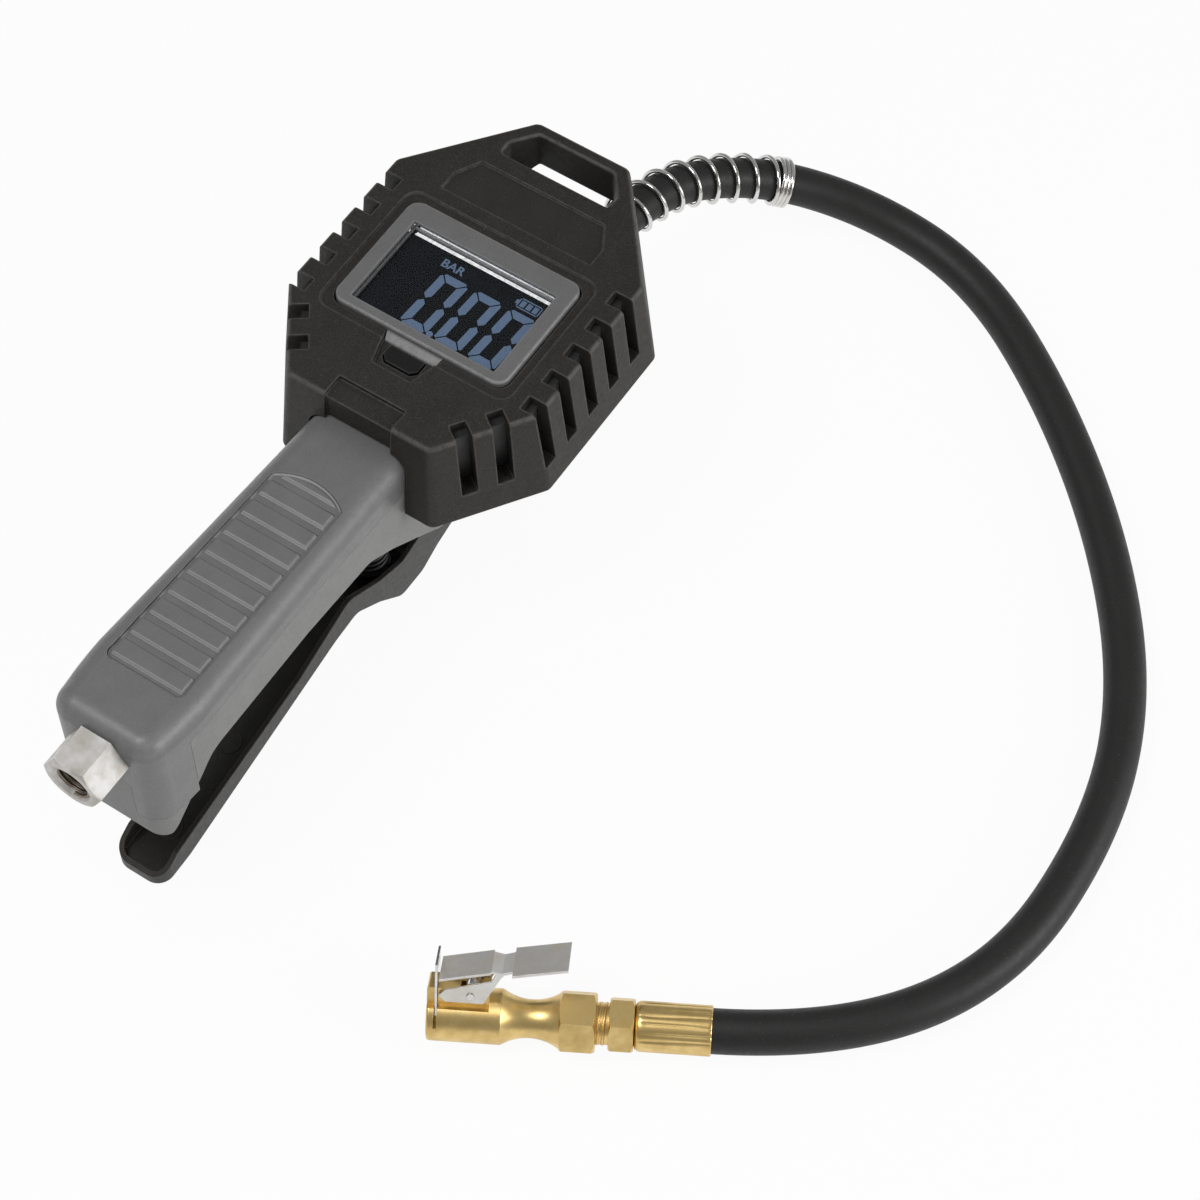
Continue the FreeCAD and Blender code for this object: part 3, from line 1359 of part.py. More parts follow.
def make_springs():
    """The poppet's spring above it and the lever's spring round the plunger."""
    room = s.valve_seat - s.shell_gap - s.poppet_tall - s.valve_top - s.cap_plug
    inner = coil(s.poppet_radius.value - s.valve_spring_wire.value, s.valve_spring_wire.value,
                 room.value - 2 * s.shell_gap.value, SIZES["valve_spring_turns"])
    seat = s.face_z - s.valve_top - s.cap_plug - room + s.shell_gap
    valve_spring = feature("valve_spring", inner, (HEAD[0] - s.valve_x, 0, seat + s.valve_spring_wire))
    room = s.plunger_flange_deep - s.guide_bottom
    outer = coil(s.spring_radius.value, s.spring_wire.value, room.value - 2 * s.shell_gap.value,
                 SIZES["spring_turns"])
    seat = s.face_z - s.plunger_flange_deep + s.shell_gap
    lever_spring = feature("lever_spring", outer, (HEAD[0] - s.valve_x, 0, seat + s.spring_wire))
    return [valve_spring, lever_spring]


def make_seal_ring():
    """The plunger's seal between the valve and the floor of its bore."""
    level = -s.valve_foot - s.ring_wire
    ring = s.plunger_radius + s.pipe_fit + s.ring_wire
    body = body_in("plunger_seal", HEAD, (-s.valve_x, 0, level))
    sketch = sketch_on(body, "XZ")
    add_disc(sketch, ring, 0, s.ring_wire)
    turn = body.newObject("PartDesign::Revolution", "turning")
    turn.Profile = sketch
    turn.ReferenceAxis = (sketch, ["V_Axis"])
    turn.Angle = 360
    return body


def make_plunger():
    """The plunger, with a domed tip over the lever and a flange for its spring."""
    body = body_in("plunger", HEAD, (-s.valve_x, 0, 0))
    rise = s.dome_rise
    dome = (s.plunger_radius * s.plunger_radius + rise * rise) / (rise * 2)
    under = -s.plunger_flange_deep - s.plunger_flange_thick
    turned(body, "XZ", "V_Axis", [
        (0, -s.plunger_tip), (s.plunger_radius, -s.plunger_tip + rise), (s.plunger_radius, under),
        (s.plunger_flange, under), (s.plunger_flange, -s.plunger_flange_deep),
        (s.plunger_radius, -s.plunger_flange_deep), (s.plunger_radius, -s.plunger_neck),
        (s.pusher_radius, -s.plunger_neck), (s.pusher_radius, -s.plunger_top), (0, -s.plunger_top)],
        bows={0: dome})
    return body


def make_outlet():
    """The pipe from the valve, with a branch for the sensor, and the fitting that the hose is on."""
    start = -s.valve_x + s.valve_radius + s.shell_gap
    end = s.outlet_start + s.outlet_seat
    pipe = body_in("outlet_pipe", HEAD, (0, 0, -s.outlet_deep))
    pad(pipe, disc(pipe, "YZ", 0, 0, s.pipe_radius, start), end - start)
    pad(pipe, disc(pipe, "XY", s.sensor_x, 0, s.tee_radius), s.pipe_radius + s.tee_rise)
    pocket(pipe, disc(pipe, "YZ", 0, 0, s.pipe_way, end), end - start)
    pocket(pipe, disc(pipe, "XY", s.sensor_x, 0, s.sensor_way), s.outlet_deep, back=True)
    fitting = body_in("outlet_fitting", HEAD, (s.outlet_start, 0, -s.outlet_deep))
    pad(fitting, outline(fitting, "YZ", hexagon(s.outlet_hex)), s.outlet_nut)
    pad(fitting, disc(fitting, "YZ", 0, 0, s.outlet_radius), s.outlet_end - s.outlet_start)
    bored(fitting, "XZ", "H_Axis", [(0, 0), (0, s.pipe_radius + s.pin_fit), (s.outlet_seat,
                                                                             s.pipe_radius + s.pin_fit),
                                    (s.outlet_seat, s.pipe_way), (s.outlet_end, s.pipe_way), (s.outlet_end,
                                                                                              0)])
    return [pipe, fitting]


# Lever

PIVOT_UP = s.face_z - s.pivot_deep


def up(height):
    """A height over the table, in the lever's frame."""
    return size_of(height) - PIVOT_UP


def make_lever():
    """A pressed channel: a floor between two walls, cranked under the plunger."""
    body = body_in("lever", LEVER)
    under = [(s.lever_front, up(s.lever_nose_up)), (-s.lever_lap, up(s.lever_lap_up)),
             (-s.lever_dip, up(s.lever_dip_up)), (-s.knee_front, up(0)), (-s.knee_back, up(0)),
             (-s.rise_mid, up(s.rise_mid_up)), (-s.rise_top, up(s.rise_top_up)),
             (-s.shank_start, up(s.shank_start_up)), (-s.shank_end, up(s.shank_end_up)), (-s.lever_tip,
                                                                                          up(0))]
    brim = [(-s.lever_tip, up(s.tip_up)), (-s.brim_end, up(s.brim_end_up)), (-s.brim_low, up(s.brim_low_up)),
            (-s.brim_fall, up(s.brim_fall_up)), (-s.brim_peak, up(s.brim_peak_up)),
            (-s.brim_rise, up(s.brim_rise_up)), (-s.brim_dip, up(s.brim_dip_up)),
            (-s.brim_step, up(s.brim_step_up)), (-s.lever_eye, up(PIVOT_UP + s.lever_eye)),
            (s.lever_eye, up(PIVOT_UP + s.lever_eye))]
    pad(body, outline(body, "XZ", under + brim), s.lever_half * 2, even=True)
    rounded(body, s.knee_round, x=(-s.knee_back, -s.knee_front), z=(up(0), up(0)), along="y")
    rounded(body, s.knee_round, x=(-s.rise_top, -s.rise_top), z=(up(s.rise_top_up), up(s.rise_top_up)),
            along="y")
    rounded(body, s.brim_round, x=(-s.brim_peak, -s.brim_step), z=(up(s.brim_dip_up), up(s.brim_peak_up)),
            along="y")
    rounded(body, s.lever_eye * 0.9, x=(s.lever_eye, s.lever_eye), z=(0, 99), along="y")
    inner = [(across, height + s.lever_floor) for across, height in under]
    inner[0] = (s.lever_front + 1, inner[0][1])
    inner[-1] = (-s.lever_tip + s.lever_wall, inner[-1][1])
    high = up(s.brim_peak_up + 9)
    inner += [(-s.lever_tip + s.lever_wall, high), (s.lever_front + 1, high)]
    wide = s.lever_half - s.lever_wall
    pocket(body, outline(body, "XZ", inner), wide * 2, even=True)
    tip = -s.lever_tip
    rounded(body, s.lever_corner - s.lever_wall, x=(tip, tip + s.lever_wall), side=(wide, wide), along="z")
    rounded(body, s.lever_corner, x=(tip, tip), side=(s.lever_half, s.lever_half), along="z")
    boss_x = -s.valve_x + s.pivot_back
    top = s.pivot_deep - s.plunger_tip - s.rest_gap
    pad(body, disc(body, "XY", boss_x, 0, s.boss_radius, top), top - up(0), back=True)
    below = [(-s.knee_back, up(0)), (-s.rise_mid, up(s.rise_mid_up)), (-s.rise_mid, up(-9)), (-s.knee_back,
                                                                                              up(-9))]
    pocket(body, outline(body, "XZ", below), s.lever_half * 3, even=True)
    pocket(body, disc(body, "XZ", 0, 0, s.pin_radius + s.pin_fit), s.lever_half * 3, even=True)
    return body


def make_pin():
    """The lever's pin, headed outside both walls."""
    body = body_in("lever_pin", HEAD, (-s.pivot_back, 0, -s.pivot_deep))
    pad(body, disc(body, "XZ", 0, 0, s.pin_radius), (s.lever_half + s.pin_head) * 2, even=True)
    for hand in (-1, 1):
        pad(body, disc(body, "XZ", 0, 0, s.pin_radius * 1.6, (s.lever_half + s.shell_gap) * hand),
            s.pin_head - s.shell_gap, back=(hand < 0))
    return body


# Hose and its guard

ROUTE = [(159.4, 0.0, 42.0), (198.6, -20.5, 27.0), (218.7, -57.6, 12.7), (216.7, -101.7, 7.0),
         (186.6, -147.4, 7.5), (147.2, -189.9, 7.0), (102.3, -222.5, 7.0), (55.5, -238.1, 7.2),
         (-4.0, -237.8, 7.0)]


def chuck_turn():
    """The chuck's turn about the upright, then its roll about its own axis."""
    turn = FreeCAD.Rotation(FreeCAD.Vector(0, 0, 1), s.chuck_yaw.value)
    return turn.multiply(FreeCAD.Rotation(FreeCAD.Vector(1, 0, 0), s.chuck_roll.value))


def hose_points():
    """The hose's route from the outlet to the ferrule, which it enters along the ferrule's axis."""
    start = FreeCAD.Vector(HEAD[0].value + s.outlet_end.value, 0, HEAD[2].value - s.outlet_deep.value)
    mouth = FreeCAD.Vector(*[size.value for size in CHUCK])
    axis = chuck_turn().multVec(FreeCAD.Vector(1, 0, 0))
    end = mouth + axis * (s.ferrule_end.value - s.ferrule_cup.value)
    return [start] + [FreeCAD.Vector(*spot) for spot in ROUTE] + [end + axis * s.hose_lead.value, end]


def make_hose():
    path, radii = path_through(hose_points())
    shape = swept(path, s.hose_radius.value)
    section = math.pi * s.hose_radius.value ** 2
    print("hose", round(path.Length, 1), "mm long, volume ratio",
          round(shape.Volume / section / path.Length, 4))
    print("hose radii", [round(radius, 1) for radius in radii])
    return feature("hose", shape)


def make_guard():
    """The spring guard's outer shape, a sleeve round the hose's first stretch."""
    path, _ = path_through(hose_points())
    edges, left = [], s.guard_long.value
    for edge in path.Edges:
        if edge.Length < left:
            edges.append(edge)
            left -= edge.Length
            continue
        first = edge.FirstParameter
        last = edge.getParameterByLength(left)
        edges.append(edge.Curve.toShape(first, last))
        break
    stretch = Part.Wire(edges)
    inner = s.hose_radius.value + s.guard_gap.value
    shape = swept(stretch, GUARD_RADIUS.value).cut(swept(stretch, inner))
    return feature("spring_guard", shape)


# Chuck


def corner_up(flat):
    """A hexagon with a corner above its middle."""
    return [(across, height) for height, across in hexagon(flat)]


def make_chuck():
    """The brass chuck: a slotted block with a rib for the clip, a waist and a hexagon."""
    body = body_in("chuck_body", CHUCK)
    half = (s.nut_start - s.chuck_collar) * 0.5
    sink = s.chuck_radius - s.waist_radius
    bow = (half * half + sink * sink) / (sink * 2)
    turned(body, "XZ", "H_Axis", [(0, 0), (s.nut_end, 0), (s.nut_end, s.chuck_radius), (s.nut_start,
                                                                                        s.chuck_radius),
                                  (s.chuck_collar, s.chuck_radius), (0, s.chuck_radius)], bows={3: -bow})
    pad(body, outline(body, "YZ", corner_up(s.nut_flat), s.nut_start), s.nut_end - s.nut_start)
    rounded(body, s.mouth_lead, x=(0, 0))
    for hand in (-1, 1):
        side = box(s.rib_half * hand, s.chuck_radius * 2 * hand, s.ledge_up, s.chuck_radius * 2)
        pocket(body, outline(body, "YZ", side), s.chuck_block, back=True)
    pad(body, outline(body, "YZ", box(-s.rib_half, s.rib_half, s.ledge_up, s.rib_up)), s.chuck_block)
    pad(body, outline(body, "YZ", box(-s.rib_half, s.rib_half, s.ledge_up, s.lobe_up)), s.lobe_long)
    rounded(body, s.mouth_lead, x=(0, 0), z=(s.lobe_up, s.lobe_up), along="y")
    bored(body, "XZ", "H_Axis", [(0, 0), (0, s.mouth_bore + s.mouth_lead), (s.mouth_lead, s.mouth_bore),
                                 (s.bore_deep, s.mouth_bore), (s.bore_deep, s.seal_radius),
                                 (s.mouth_deep, s.seal_radius), (s.mouth_deep, s.chuck_way),
                                 (s.nut_end, s.chuck_way), (s.nut_end, 0)])
    trim_corners(body, s.nut_flat, s.nut_end, -1)
    trim_corners(body, s.nut_flat, s.nut_start, 1)
    jaw = s.jaw_slot * 0.5
    pocket(body, outline(body, "XZ", box(s.jaw_x - jaw, s.jaw_x + jaw, 0, s.lobe_up * 2)), s.chuck_radius * 3,
           even=True)
    notch = box(s.clip_pin_x - s.notch_front, s.clip_pin_x + s.notch_back, s.clip_pin_up - s.notch_deep,
                s.lobe_up * 2)
    pocket(body, outline(body, "XZ", notch), s.rib_notch * 2, even=True)
    pocket(body, disc(body, "XZ", s.clip_pin_x, s.clip_pin_up, s.clip_pin_radius), s.rib_half * 3, even=True)
    return body


def make_seal():
    """The rubber washer that the tyre valve's end presses on."""
    body = body_in("chuck_seal", CHUCK)
    ring = sketch_on(body, "YZ", s.seal_deep)
    add_disc(ring, 0, 0, s.seal_radius - s.pin_fit)
    add_disc(ring, 0, 0, s.seal_way)
    pad(body, ring, s.mouth_deep - s.seal_deep - s.pusher_disc)
    return body


def make_depressor():
    """The spider behind the washer, whose pin opens the tyre valve."""
    body = body_in("valve_depressor", CHUCK)
    back = s.mouth_deep
    edge = s.seal_radius - s.pin_fit
    turned(body, "XZ", "H_Axis", [(back, 0), (back, edge), (back - s.pusher_disc, edge),
                                  (back - s.pusher_disc, s.pusher_pin), (s.seal_deep, s.pusher_pin),
                                  (s.seal_deep, 0)])
    return body


def make_clip_pin():
    body = body_in("clip_pin", CHUCK)
    pad(body, disc(body, "XZ", s.clip_pin_x, s.clip_pin_up, s.clip_pin_radius), s.clip_pin_long * 2,
        even=True)
    return body


def strip(spots, thick):
    """The side view of a bent sheet from the corners of its upper face."""
    return spots + [(across, height - thick) for across, height in spots[::-1]]


def make_clip():
    """The pressed clip: a front plate and a thumb plate, with two ears on the pin."""
    body = body_in("chuck_clip", CHUCK)
    front = [(s.clip_start, s.clip_start_up), (s.clip_knee, s.clip_knee_up), (s.clip_dip, s.clip_dip_up)]
    pad(body, outline(body, "XZ", strip(front, s.clip_thick)), s.clip_half * 2, even=True)
    thumb = [(s.clip_dip, s.clip_dip_up), (s.clip_rise, s.clip_rise_up), (s.clip_tip, s.clip_tip_up)]
    pad(body, outline(body, "XZ", strip(thumb, s.clip_thick)), s.thumb_half * 2, even=True)
    inner = s.rib_half + s.ear_gap
    outer = inner + s.clip_thick
    for hand in (-1, 1):
        waist = box(s.clip_knee, s.clip_rise, outer * hand, s.thumb_half * 2 * hand)
        pocket(body, outline(body, "XY", waist, s.clip_tip_up), s.clip_tip_up)
        ear = [(s.ear_front, s.ear_low + s.ear_cut), (s.ear_front + s.ear_cut, s.ear_low),
               (s.ear_back, s.ear_low), (s.clip_dip - s.ear_cut * 0.3, s.clip_dip_up - s.ear_cut),
               (s.clip_dip + s.clip_thick, s.clip_dip_up - s.clip_thick * 0.4),
               (s.clip_knee + s.ear_cut * 0.7, s.clip_dip_up - s.clip_thick * 0.4),
               (s.clip_knee, s.clip_knee_up - s.ear_cut * 2), (s.ear_front + s.ear_cut,
                                                               s.rib_up + s.clip_thick)]
        pad(body, outline(body, "XZ", ear, inner * -hand), s.clip_thick, back=(hand > 0))
    pocket(body, disc(body, "XZ", s.clip_pin_x, s.clip_pin_up, s.clip_pin_radius + s.pin_fit),
           s.clip_half * 3, even=True)
    return body


def make_jaw():
    """The jaw plate, whose forked foot grips the tyre valve's thread."""
    body = body_in("jaw_plate", CHUCK)
    side = box(s.jaw_x - s.jaw_thick * 0.5, s.jaw_x + s.jaw_thick * 0.5, s.jaw_foot, s.jaw_top)
    pad(body, outline(body, "XZ", side), s.jaw_half * 2, even=True)
    pocket(body, disc(body, "YZ", 0, 0, s.mouth_bore + s.pin_fit, s.jaw_x * 2), s.jaw_x * 2)
    return body


def make_clip_spring():
    """The clip's torsion spring: a coil on the pin and its two legs."""
    body = body_in("clip_spring", CHUCK)
    wide = s.rib_notch - s.rest_gap
    ring = sketch_on(body, "XZ")
    outer = s.clip_pin_radius + s.torsion_wire
    add_disc(ring, s.clip_pin_x, s.clip_pin_up, outer)
    add_disc(ring, s.clip_pin_x, s.clip_pin_up, s.clip_pin_radius + s.pipe_fit)
    pad(body, ring, wide * 2, even=True)
    wire = s.torsion_wire * 0.8
    low = [(0, wire - outer), (0, -outer), (s.torsion_leg, -outer * 0.9), (s.torsion_leg, wire - outer * 0.9)]
    reach, rise = s.torsion_reach, s.torsion_rise
    high = [(outer * 0.5, outer * 0.7), (outer * 0.8, outer * 0.4), (reach, rise - wire), (reach - wire,
                                                                                           rise)]
    for leg in (low, high):
        corners = [(across + s.clip_pin_x, height + s.clip_pin_up) for across, height in leg]
        pad(body, outline(body, "XZ", corners), wire, even=True)
    return body


def make_stem():
    """The hose stem's thread and hexagon behind the chuck."""
    body = body_in("hose_stem", CHUCK)
    turned(body, "XZ", "H_Axis", [(s.nut_end, 0), (s.nut_end, s.stem_collar),
                                  (s.nut_end + s.stem_collar_long, s.stem_collar),
                                  (s.nut_end + s.stem_collar_long, s.stem_flat * 0.5), (s.stem_end,
                                                                                        s.stem_flat * 0.5),
                                  (s.stem_end, 0)])
    pad(body, outline(body, "YZ", corner_up(s.stem_flat), s.nut_end + s.stem_collar_long),
        s.stem_end - s.nut_end - s.stem_collar_long)
    trim_corners(body, s.stem_flat, s.nut_end + s.stem_collar_long, 1)
    trim_corners(body, s.stem_flat, s.stem_end, -1)
    pocket(body, disc(body, "YZ", 0, 0, s.chuck_way, s.stem_end), s.stem_end)
    return body


def make_ferrule():
    """The crimped ferrule, with a shallow cup round the hose's end."""
    body = body_in("ferrule", CHUCK)
    cup = s.ferrule_end - s.ferrule_cup
    turned(body, "XZ", "H_Axis", [(s.stem_end, s.chuck_way), (cup, s.chuck_way), (cup,
                                                                                  s.hose_radius + s.pin_fit),
                                  (s.ferrule_end, s.hose_radius + s.pin_fit), (s.ferrule_end,
                                                                               s.ferrule_radius),
                                  (s.stem_end, s.ferrule_radius)])
    rounded(body, s.pipe_fit * 4, x=(s.stem_end, s.stem_end))
    return body


def collect(*results):
    """One flat list of pieces from makers that return one piece or several."""
    pieces = []
    for result in results:
        pieces += result if isinstance(result, list) else [result]
    return pieces


def check(pieces):
    """Stops on a failed object, a piece without a valid shape, or a cut that takes nothing away."""
    doc.recompute()
    for item in doc.Objects:
        if "Invalid" in item.State or "Error" in item.State:
            raise ValueError("%s failed: %s" % (item.Name, item.State))
        if item.TypeId in ("PartDesign::Pocket", "PartDesign::Groove"):
            if not item.Shape.Volume < item.BaseFeature.Shape.Volume - 1e-4:
                raise ValueError("%s in %s cuts nothing" % (item.Name, item.getParent().Label))
    for piece in pieces:
        if piece.Shape.isNull() or not piece.Shape.isValid():
            raise ValueError(piece.Label + " has no valid shape")


def write(pieces):
    """Writes each piece to a file of its own."""
    os.makedirs("parts", exist_ok=True)
    for piece in pieces:
        piece.Shape.exportStep("parts/%s.step" % piece.Label)


PIECES = collect(
    make_boot(), make_front_shell(), make_rear_shell(), make_shell_screws(), make_cover(), make_cover_screw(),
    make_cell("battery_1", -1), make_cell("battery_2", 1), make_contacts(), make_lens(), make_panel(),
    make_strips(), make_board(), make_sensor(), make_button(), make_switch(),
    make_upper_shell(), make_grip_pad(), make_lower_shell(), make_inlet(), make_filter(), make_air_pipe(),
    make_valve_body(), make_valve_cap(), make_poppet(), make_springs(), make_seal_ring(), make_plunger(),
    make_outlet(), make_lever(), make_pin(), make_hose(), make_guard(), make_chuck(), make_seal(),
    make_depressor(), make_clip_pin(), make_clip(), make_jaw(), make_clip_spring(), make_stem(),
    make_ferrule())
check(PIECES)
write(PIECES)
print(len(PIECES), "pieces")
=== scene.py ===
"""Dresses a tyre inflator: finishes, display, grip pad, threads, springs, hose, guard and ferrule.

Metres, and millimetres where a comment says so. X runs along the tool from the air inlet to the hose,
and Z is up. The tool lies on the plane z = 0 with its display upwards. HEAD is the centre of the boot's
top face, and CHUCK is a frame whose x runs from the chuck's mouth along its bore.
"""

import math

import bmesh
import bpy
from bpy.props import FloatProperty, FloatVectorProperty, IntProperty, PointerProperty
from bpy.types import Operator, Panel, PropertyGroup
from mathutils import Matrix, Vector


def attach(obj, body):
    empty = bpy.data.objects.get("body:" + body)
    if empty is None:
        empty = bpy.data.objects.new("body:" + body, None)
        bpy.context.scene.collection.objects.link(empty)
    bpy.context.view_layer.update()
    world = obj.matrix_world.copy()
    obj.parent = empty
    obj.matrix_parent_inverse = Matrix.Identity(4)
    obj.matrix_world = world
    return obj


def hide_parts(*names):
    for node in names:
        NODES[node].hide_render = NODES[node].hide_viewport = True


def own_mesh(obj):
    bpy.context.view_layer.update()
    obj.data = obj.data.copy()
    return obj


bl_info = {
    "name": "Tyre inflator",
    "version": (1, 0, 0),
    "blender": (4, 5, 0),
    "location": "3D View > Sidebar > Inflator",
    "description": "Finishes, display, threads, hose and stage for a tyre inflator",
    "category": "Object",
}

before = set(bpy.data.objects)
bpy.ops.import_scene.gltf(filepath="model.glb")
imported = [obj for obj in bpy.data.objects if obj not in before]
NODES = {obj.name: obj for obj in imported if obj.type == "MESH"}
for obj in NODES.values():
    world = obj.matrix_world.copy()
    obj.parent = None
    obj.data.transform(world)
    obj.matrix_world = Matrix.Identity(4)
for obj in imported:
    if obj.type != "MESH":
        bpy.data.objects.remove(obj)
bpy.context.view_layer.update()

MM = 0.001
MERGE = 1e-7
HEAD = Vector((0.0655, 0.0, 0.0965))
# Below this height the housing's grey is painted dark, a painted shade inside the boot's slots.
HOUSING_SHADE_TOP = HEAD.z - 0.0022
PANEL_TOP = HEAD.z - 0.0027
SIGN_LEVEL = PANEL_TOP + 0.00004
INLET_MOUTH = Vector((-0.1320, 0.0, 0.0805))
INLET_RADIUS, INLET_START, INLET_END = 0.00575, 0.0008, 0.0100
CHUCK_MOUTH = (-0.1084, -0.1023, 0.0086)
CHUCK_TURN, CHUCK_ROLL = math.radians(-60.9), math.radians(-30.0)
CHUCK = (Matrix.Translation(CHUCK_MOUTH) @ Matrix.Rotation(CHUCK_TURN, 4, "Z")
         @ Matrix.Rotation(CHUCK_ROLL, 4, "X"))

# Millimetres from the chuck's mouth: the stem's thread and the ferrule
STEM_RADIUS, STEM_START, STEM_END = 5.9, 50.0, 53.0
FERRULE_START, FERRULE_NOSE, FERRULE_STRAIGHT, FERRULE_RADIUS = 60.8, 1.9, 20.5, 7.5

# The pad in millimetres, its places counted back from HEAD along the grip's sloping top
TOP_TILT = math.radians(3.2)
GRIP_LONG, GRIP_DROP = 184.0, 4.4
PAD_TOP = GRIP_DROP + GRIP_LONG * math.tan(TOP_TILT)
PAD_END, PAD_FRONT, PAD_BOW = 162.88, 84.0, 19.88
PAD_END_HALF, PAD_FRONT_HALF, PAD_CORNER = 13.88, 12.68, 3.0
PAD_STAND, PAD_THICK = 0.38, 0.6

# Half of the pad's flat middle, how its top falls outside that, and its rim as a share of the bars' rise
PAD_FLAT_HALF, PAD_CROWN, PAD_RIM = 11.5, 0.10, 0.45

# The display's signs, to the right of its middle and upwards as it is read
DIGITS_LEFT, DIGITS_LOW, DIGITS = -0.0105, -0.0218, 3
DOT_PLACE, DOT_RADIUS = (0.0004, -0.0208), 0.0011
UNIT_PLACE, UNIT_WIDE, UNIT_TALL = (-0.0118, 0.0024), 0.0081, 0.0031
BATTERY_SIGN = (0.0160, 0.0020, 0.0240, 0.0060)

# The lever's floor: its mould marks, and the sine of its fall
MARKS = ((-0.0683, 0.0, 0.0111), (-0.0995, 0.0, 0.0039))
LEVER_FALL = 0.225

# Each spring's node, joint, height of its fixed end, travel of its other end, and finish
SPRINGS = (("lever_spring", "plunger_lift", 0.0335, 0.0074, "spring_black"),
           ("valve_spring", "poppet_lift", 0.0685, 0.0024, "steel"))

# Nodes with another finish than their slot's
FINISH_BY_NODE = {"inlet_adapter": "inlet_alloy"}

# The studio: where the lamps stand and look, and how white the floor is seen
KEY_PLACE, SIDE_PLACE = (-0.35, 0.20, 1.10), (0.25, -1.1, 0.45)
LAMP_AIM = Vector((0.02, -0.08, 0.03))
WHITE_SHARE = 0.94

# Where the hose leaves the tool, and its route from there to the chuck
OUTLET = (0.1135, 0.0, 0.0420)
HOSE_ROUTE = [OUTLET, (0.1594, 0.0, 0.0420), (0.1986, -0.0205, 0.0270), (0.2187, -0.0576, 0.0127),
              (0.2167, -0.1017, 0.0070), (0.1866, -0.1474, 0.0075), (0.1472, -0.1899, 0.0070),
              (0.1023, -0.2225, 0.0070), (0.0555, -0.2381, 0.0072), (-0.0040, -0.2378, 0.0070),
              tuple(CHUCK @ Vector((0.1196, 0.0, 0.0))), tuple(CHUCK @ Vector((0.0822, 0.0, 0.0)))]


# Settings


def length(name, description, default):
    """A size in metres that a user may change."""
    return FloatProperty(name=name, description=description, default=default, min=0.0, max=1.0,
                         unit="LENGTH", precision=5)


def colour(name, description, default):
    """A colour that a user may change."""
    return FloatVectorProperty(name=name, description=description, default=default, size=3, min=0.0, max=1.0,
                               subtype="COLOR")


class HoseSizes(PropertyGroup):
    """Sizes of the hose and the coil round its first stretch."""
    hose_radius: length("Hose radius", "Half of the hose's outer diameter", 0.00675)
    guard_wire: length("Guard wire", "Half of the coil's wire thickness", 0.00075)
    guard_gap: length("Guard gap", "Space between hose and coil", 0.0003)
    guard_long: length("Guard length", "How far the coil follows the hose", 0.104)
    guard_turns: FloatProperty(name="Open turns", description="Turns of the coil that stand apart",
                               default=12.0, min=1.0, max=60.0)
    guard_closed: FloatProperty(name="Closed turns", description="Turns that touch at the coil's free end",
                                default=3.6, min=0.0, max=20.0)


class DisplaySizes(PropertyGroup):
    """Sizes of the signs on the display."""
    digit_tall: length("Digit height", "Height of a digit", 0.0225)
    digit_wide: length("Digit width", "Width of a digit", 0.0099)
    digit_pitch: length("Digit pitch", "Distance from one digit to the next", 0.01235)
    bar_wide: length("Segment width", "Width of one segment of a digit", 0.0028)
    bar_gap: length("Segment gap", "Dark gap between two segments", 0.0003)
    slant: FloatProperty(name="Slant", description="Lean of the digits", default=math.radians(2.8),
                         min=0.0, max=0.3, subtype="ANGLE", unit="ROTATION")


class PadSizes(PropertyGroup):
    """Sizes of the bars on the grip's soft pad."""
    bars: IntProperty(name="Bars", description="Bars across the pad", default=9, min=2, max=20)
    bar_share: FloatProperty(name="Bar share", description="A bar's width as a share of the pitch",
                             default=0.66, min=0.2, max=0.95)
    bar_rise: length("Bar rise", "How far a bar stands above the grooves", 0.00105)
    bar_edge: length("Bar edge", "Width of a bar's sloping flank", 0.00050)
    margin: length("Margin", "Width of the channel round the bars", 0.0013)


class MetalSizes(PropertyGroup):
    """Sizes of the threads and of the ferrule's crimps."""
    inlet_pitch: length("Inlet pitch", "Pitch of the inlet's thread", 0.00134)
    stem_pitch: length("Stem pitch", "Pitch of the hose stem's thread", 0.0015)
    thread_deep: length("Thread depth", "Height of a thread's ridge", 0.0006)
    crimps: IntProperty(name="Crimps", description="Flats pressed round the ferrule", default=18,
                        min=3, max=40)
    crimp_deep: length("Crimp depth", "How deep the flats are pressed", 0.00030)


class FinishColours(PropertyGroup):
    """Colours of the finishes."""
    boot: colour("Boot", "Rubber of the boot", (0.017, 0.0155, 0.0135))
    grip: colour("Grip", "Grip's upper half and pad", (0.138, 0.138, 0.138))
    # The lower half is moulded in the same grey as the upper; its lighter value is painted light for its
    # side that faces the lamp.
    lower: colour("Lower grip", "Grip's lower half", (0.185, 0.185, 0.183))
    housing: colour("Housing", "Gauge housing and bezel", (0.125, 0.125, 0.126))
    lever: colour("Lever", "Lever's outside", (0.016, 0.0145, 0.0130))
    hose: colour("Hose", "Hose's rubber", (0.013, 0.013, 0.0125))
    brass: colour("Brass", "Chuck, stem and ferrule", (0.80, 0.59, 0.25))
    nickel: colour("Nickel", "Clip and jaw", (0.86, 0.85, 0.83))
    steel: colour("Steel", "Guard, springs and screws", (0.72, 0.72, 0.73))
    inlet: colour("Inlet", "The inlet's hexagon", (0.60, 0.59, 0.58))
    display: colour("Display", "The display's ground", (0.0035, 0.0050, 0.0066))
    signs: colour("Signs", "Lit segments of the display", (0.095, 0.150, 0.245))


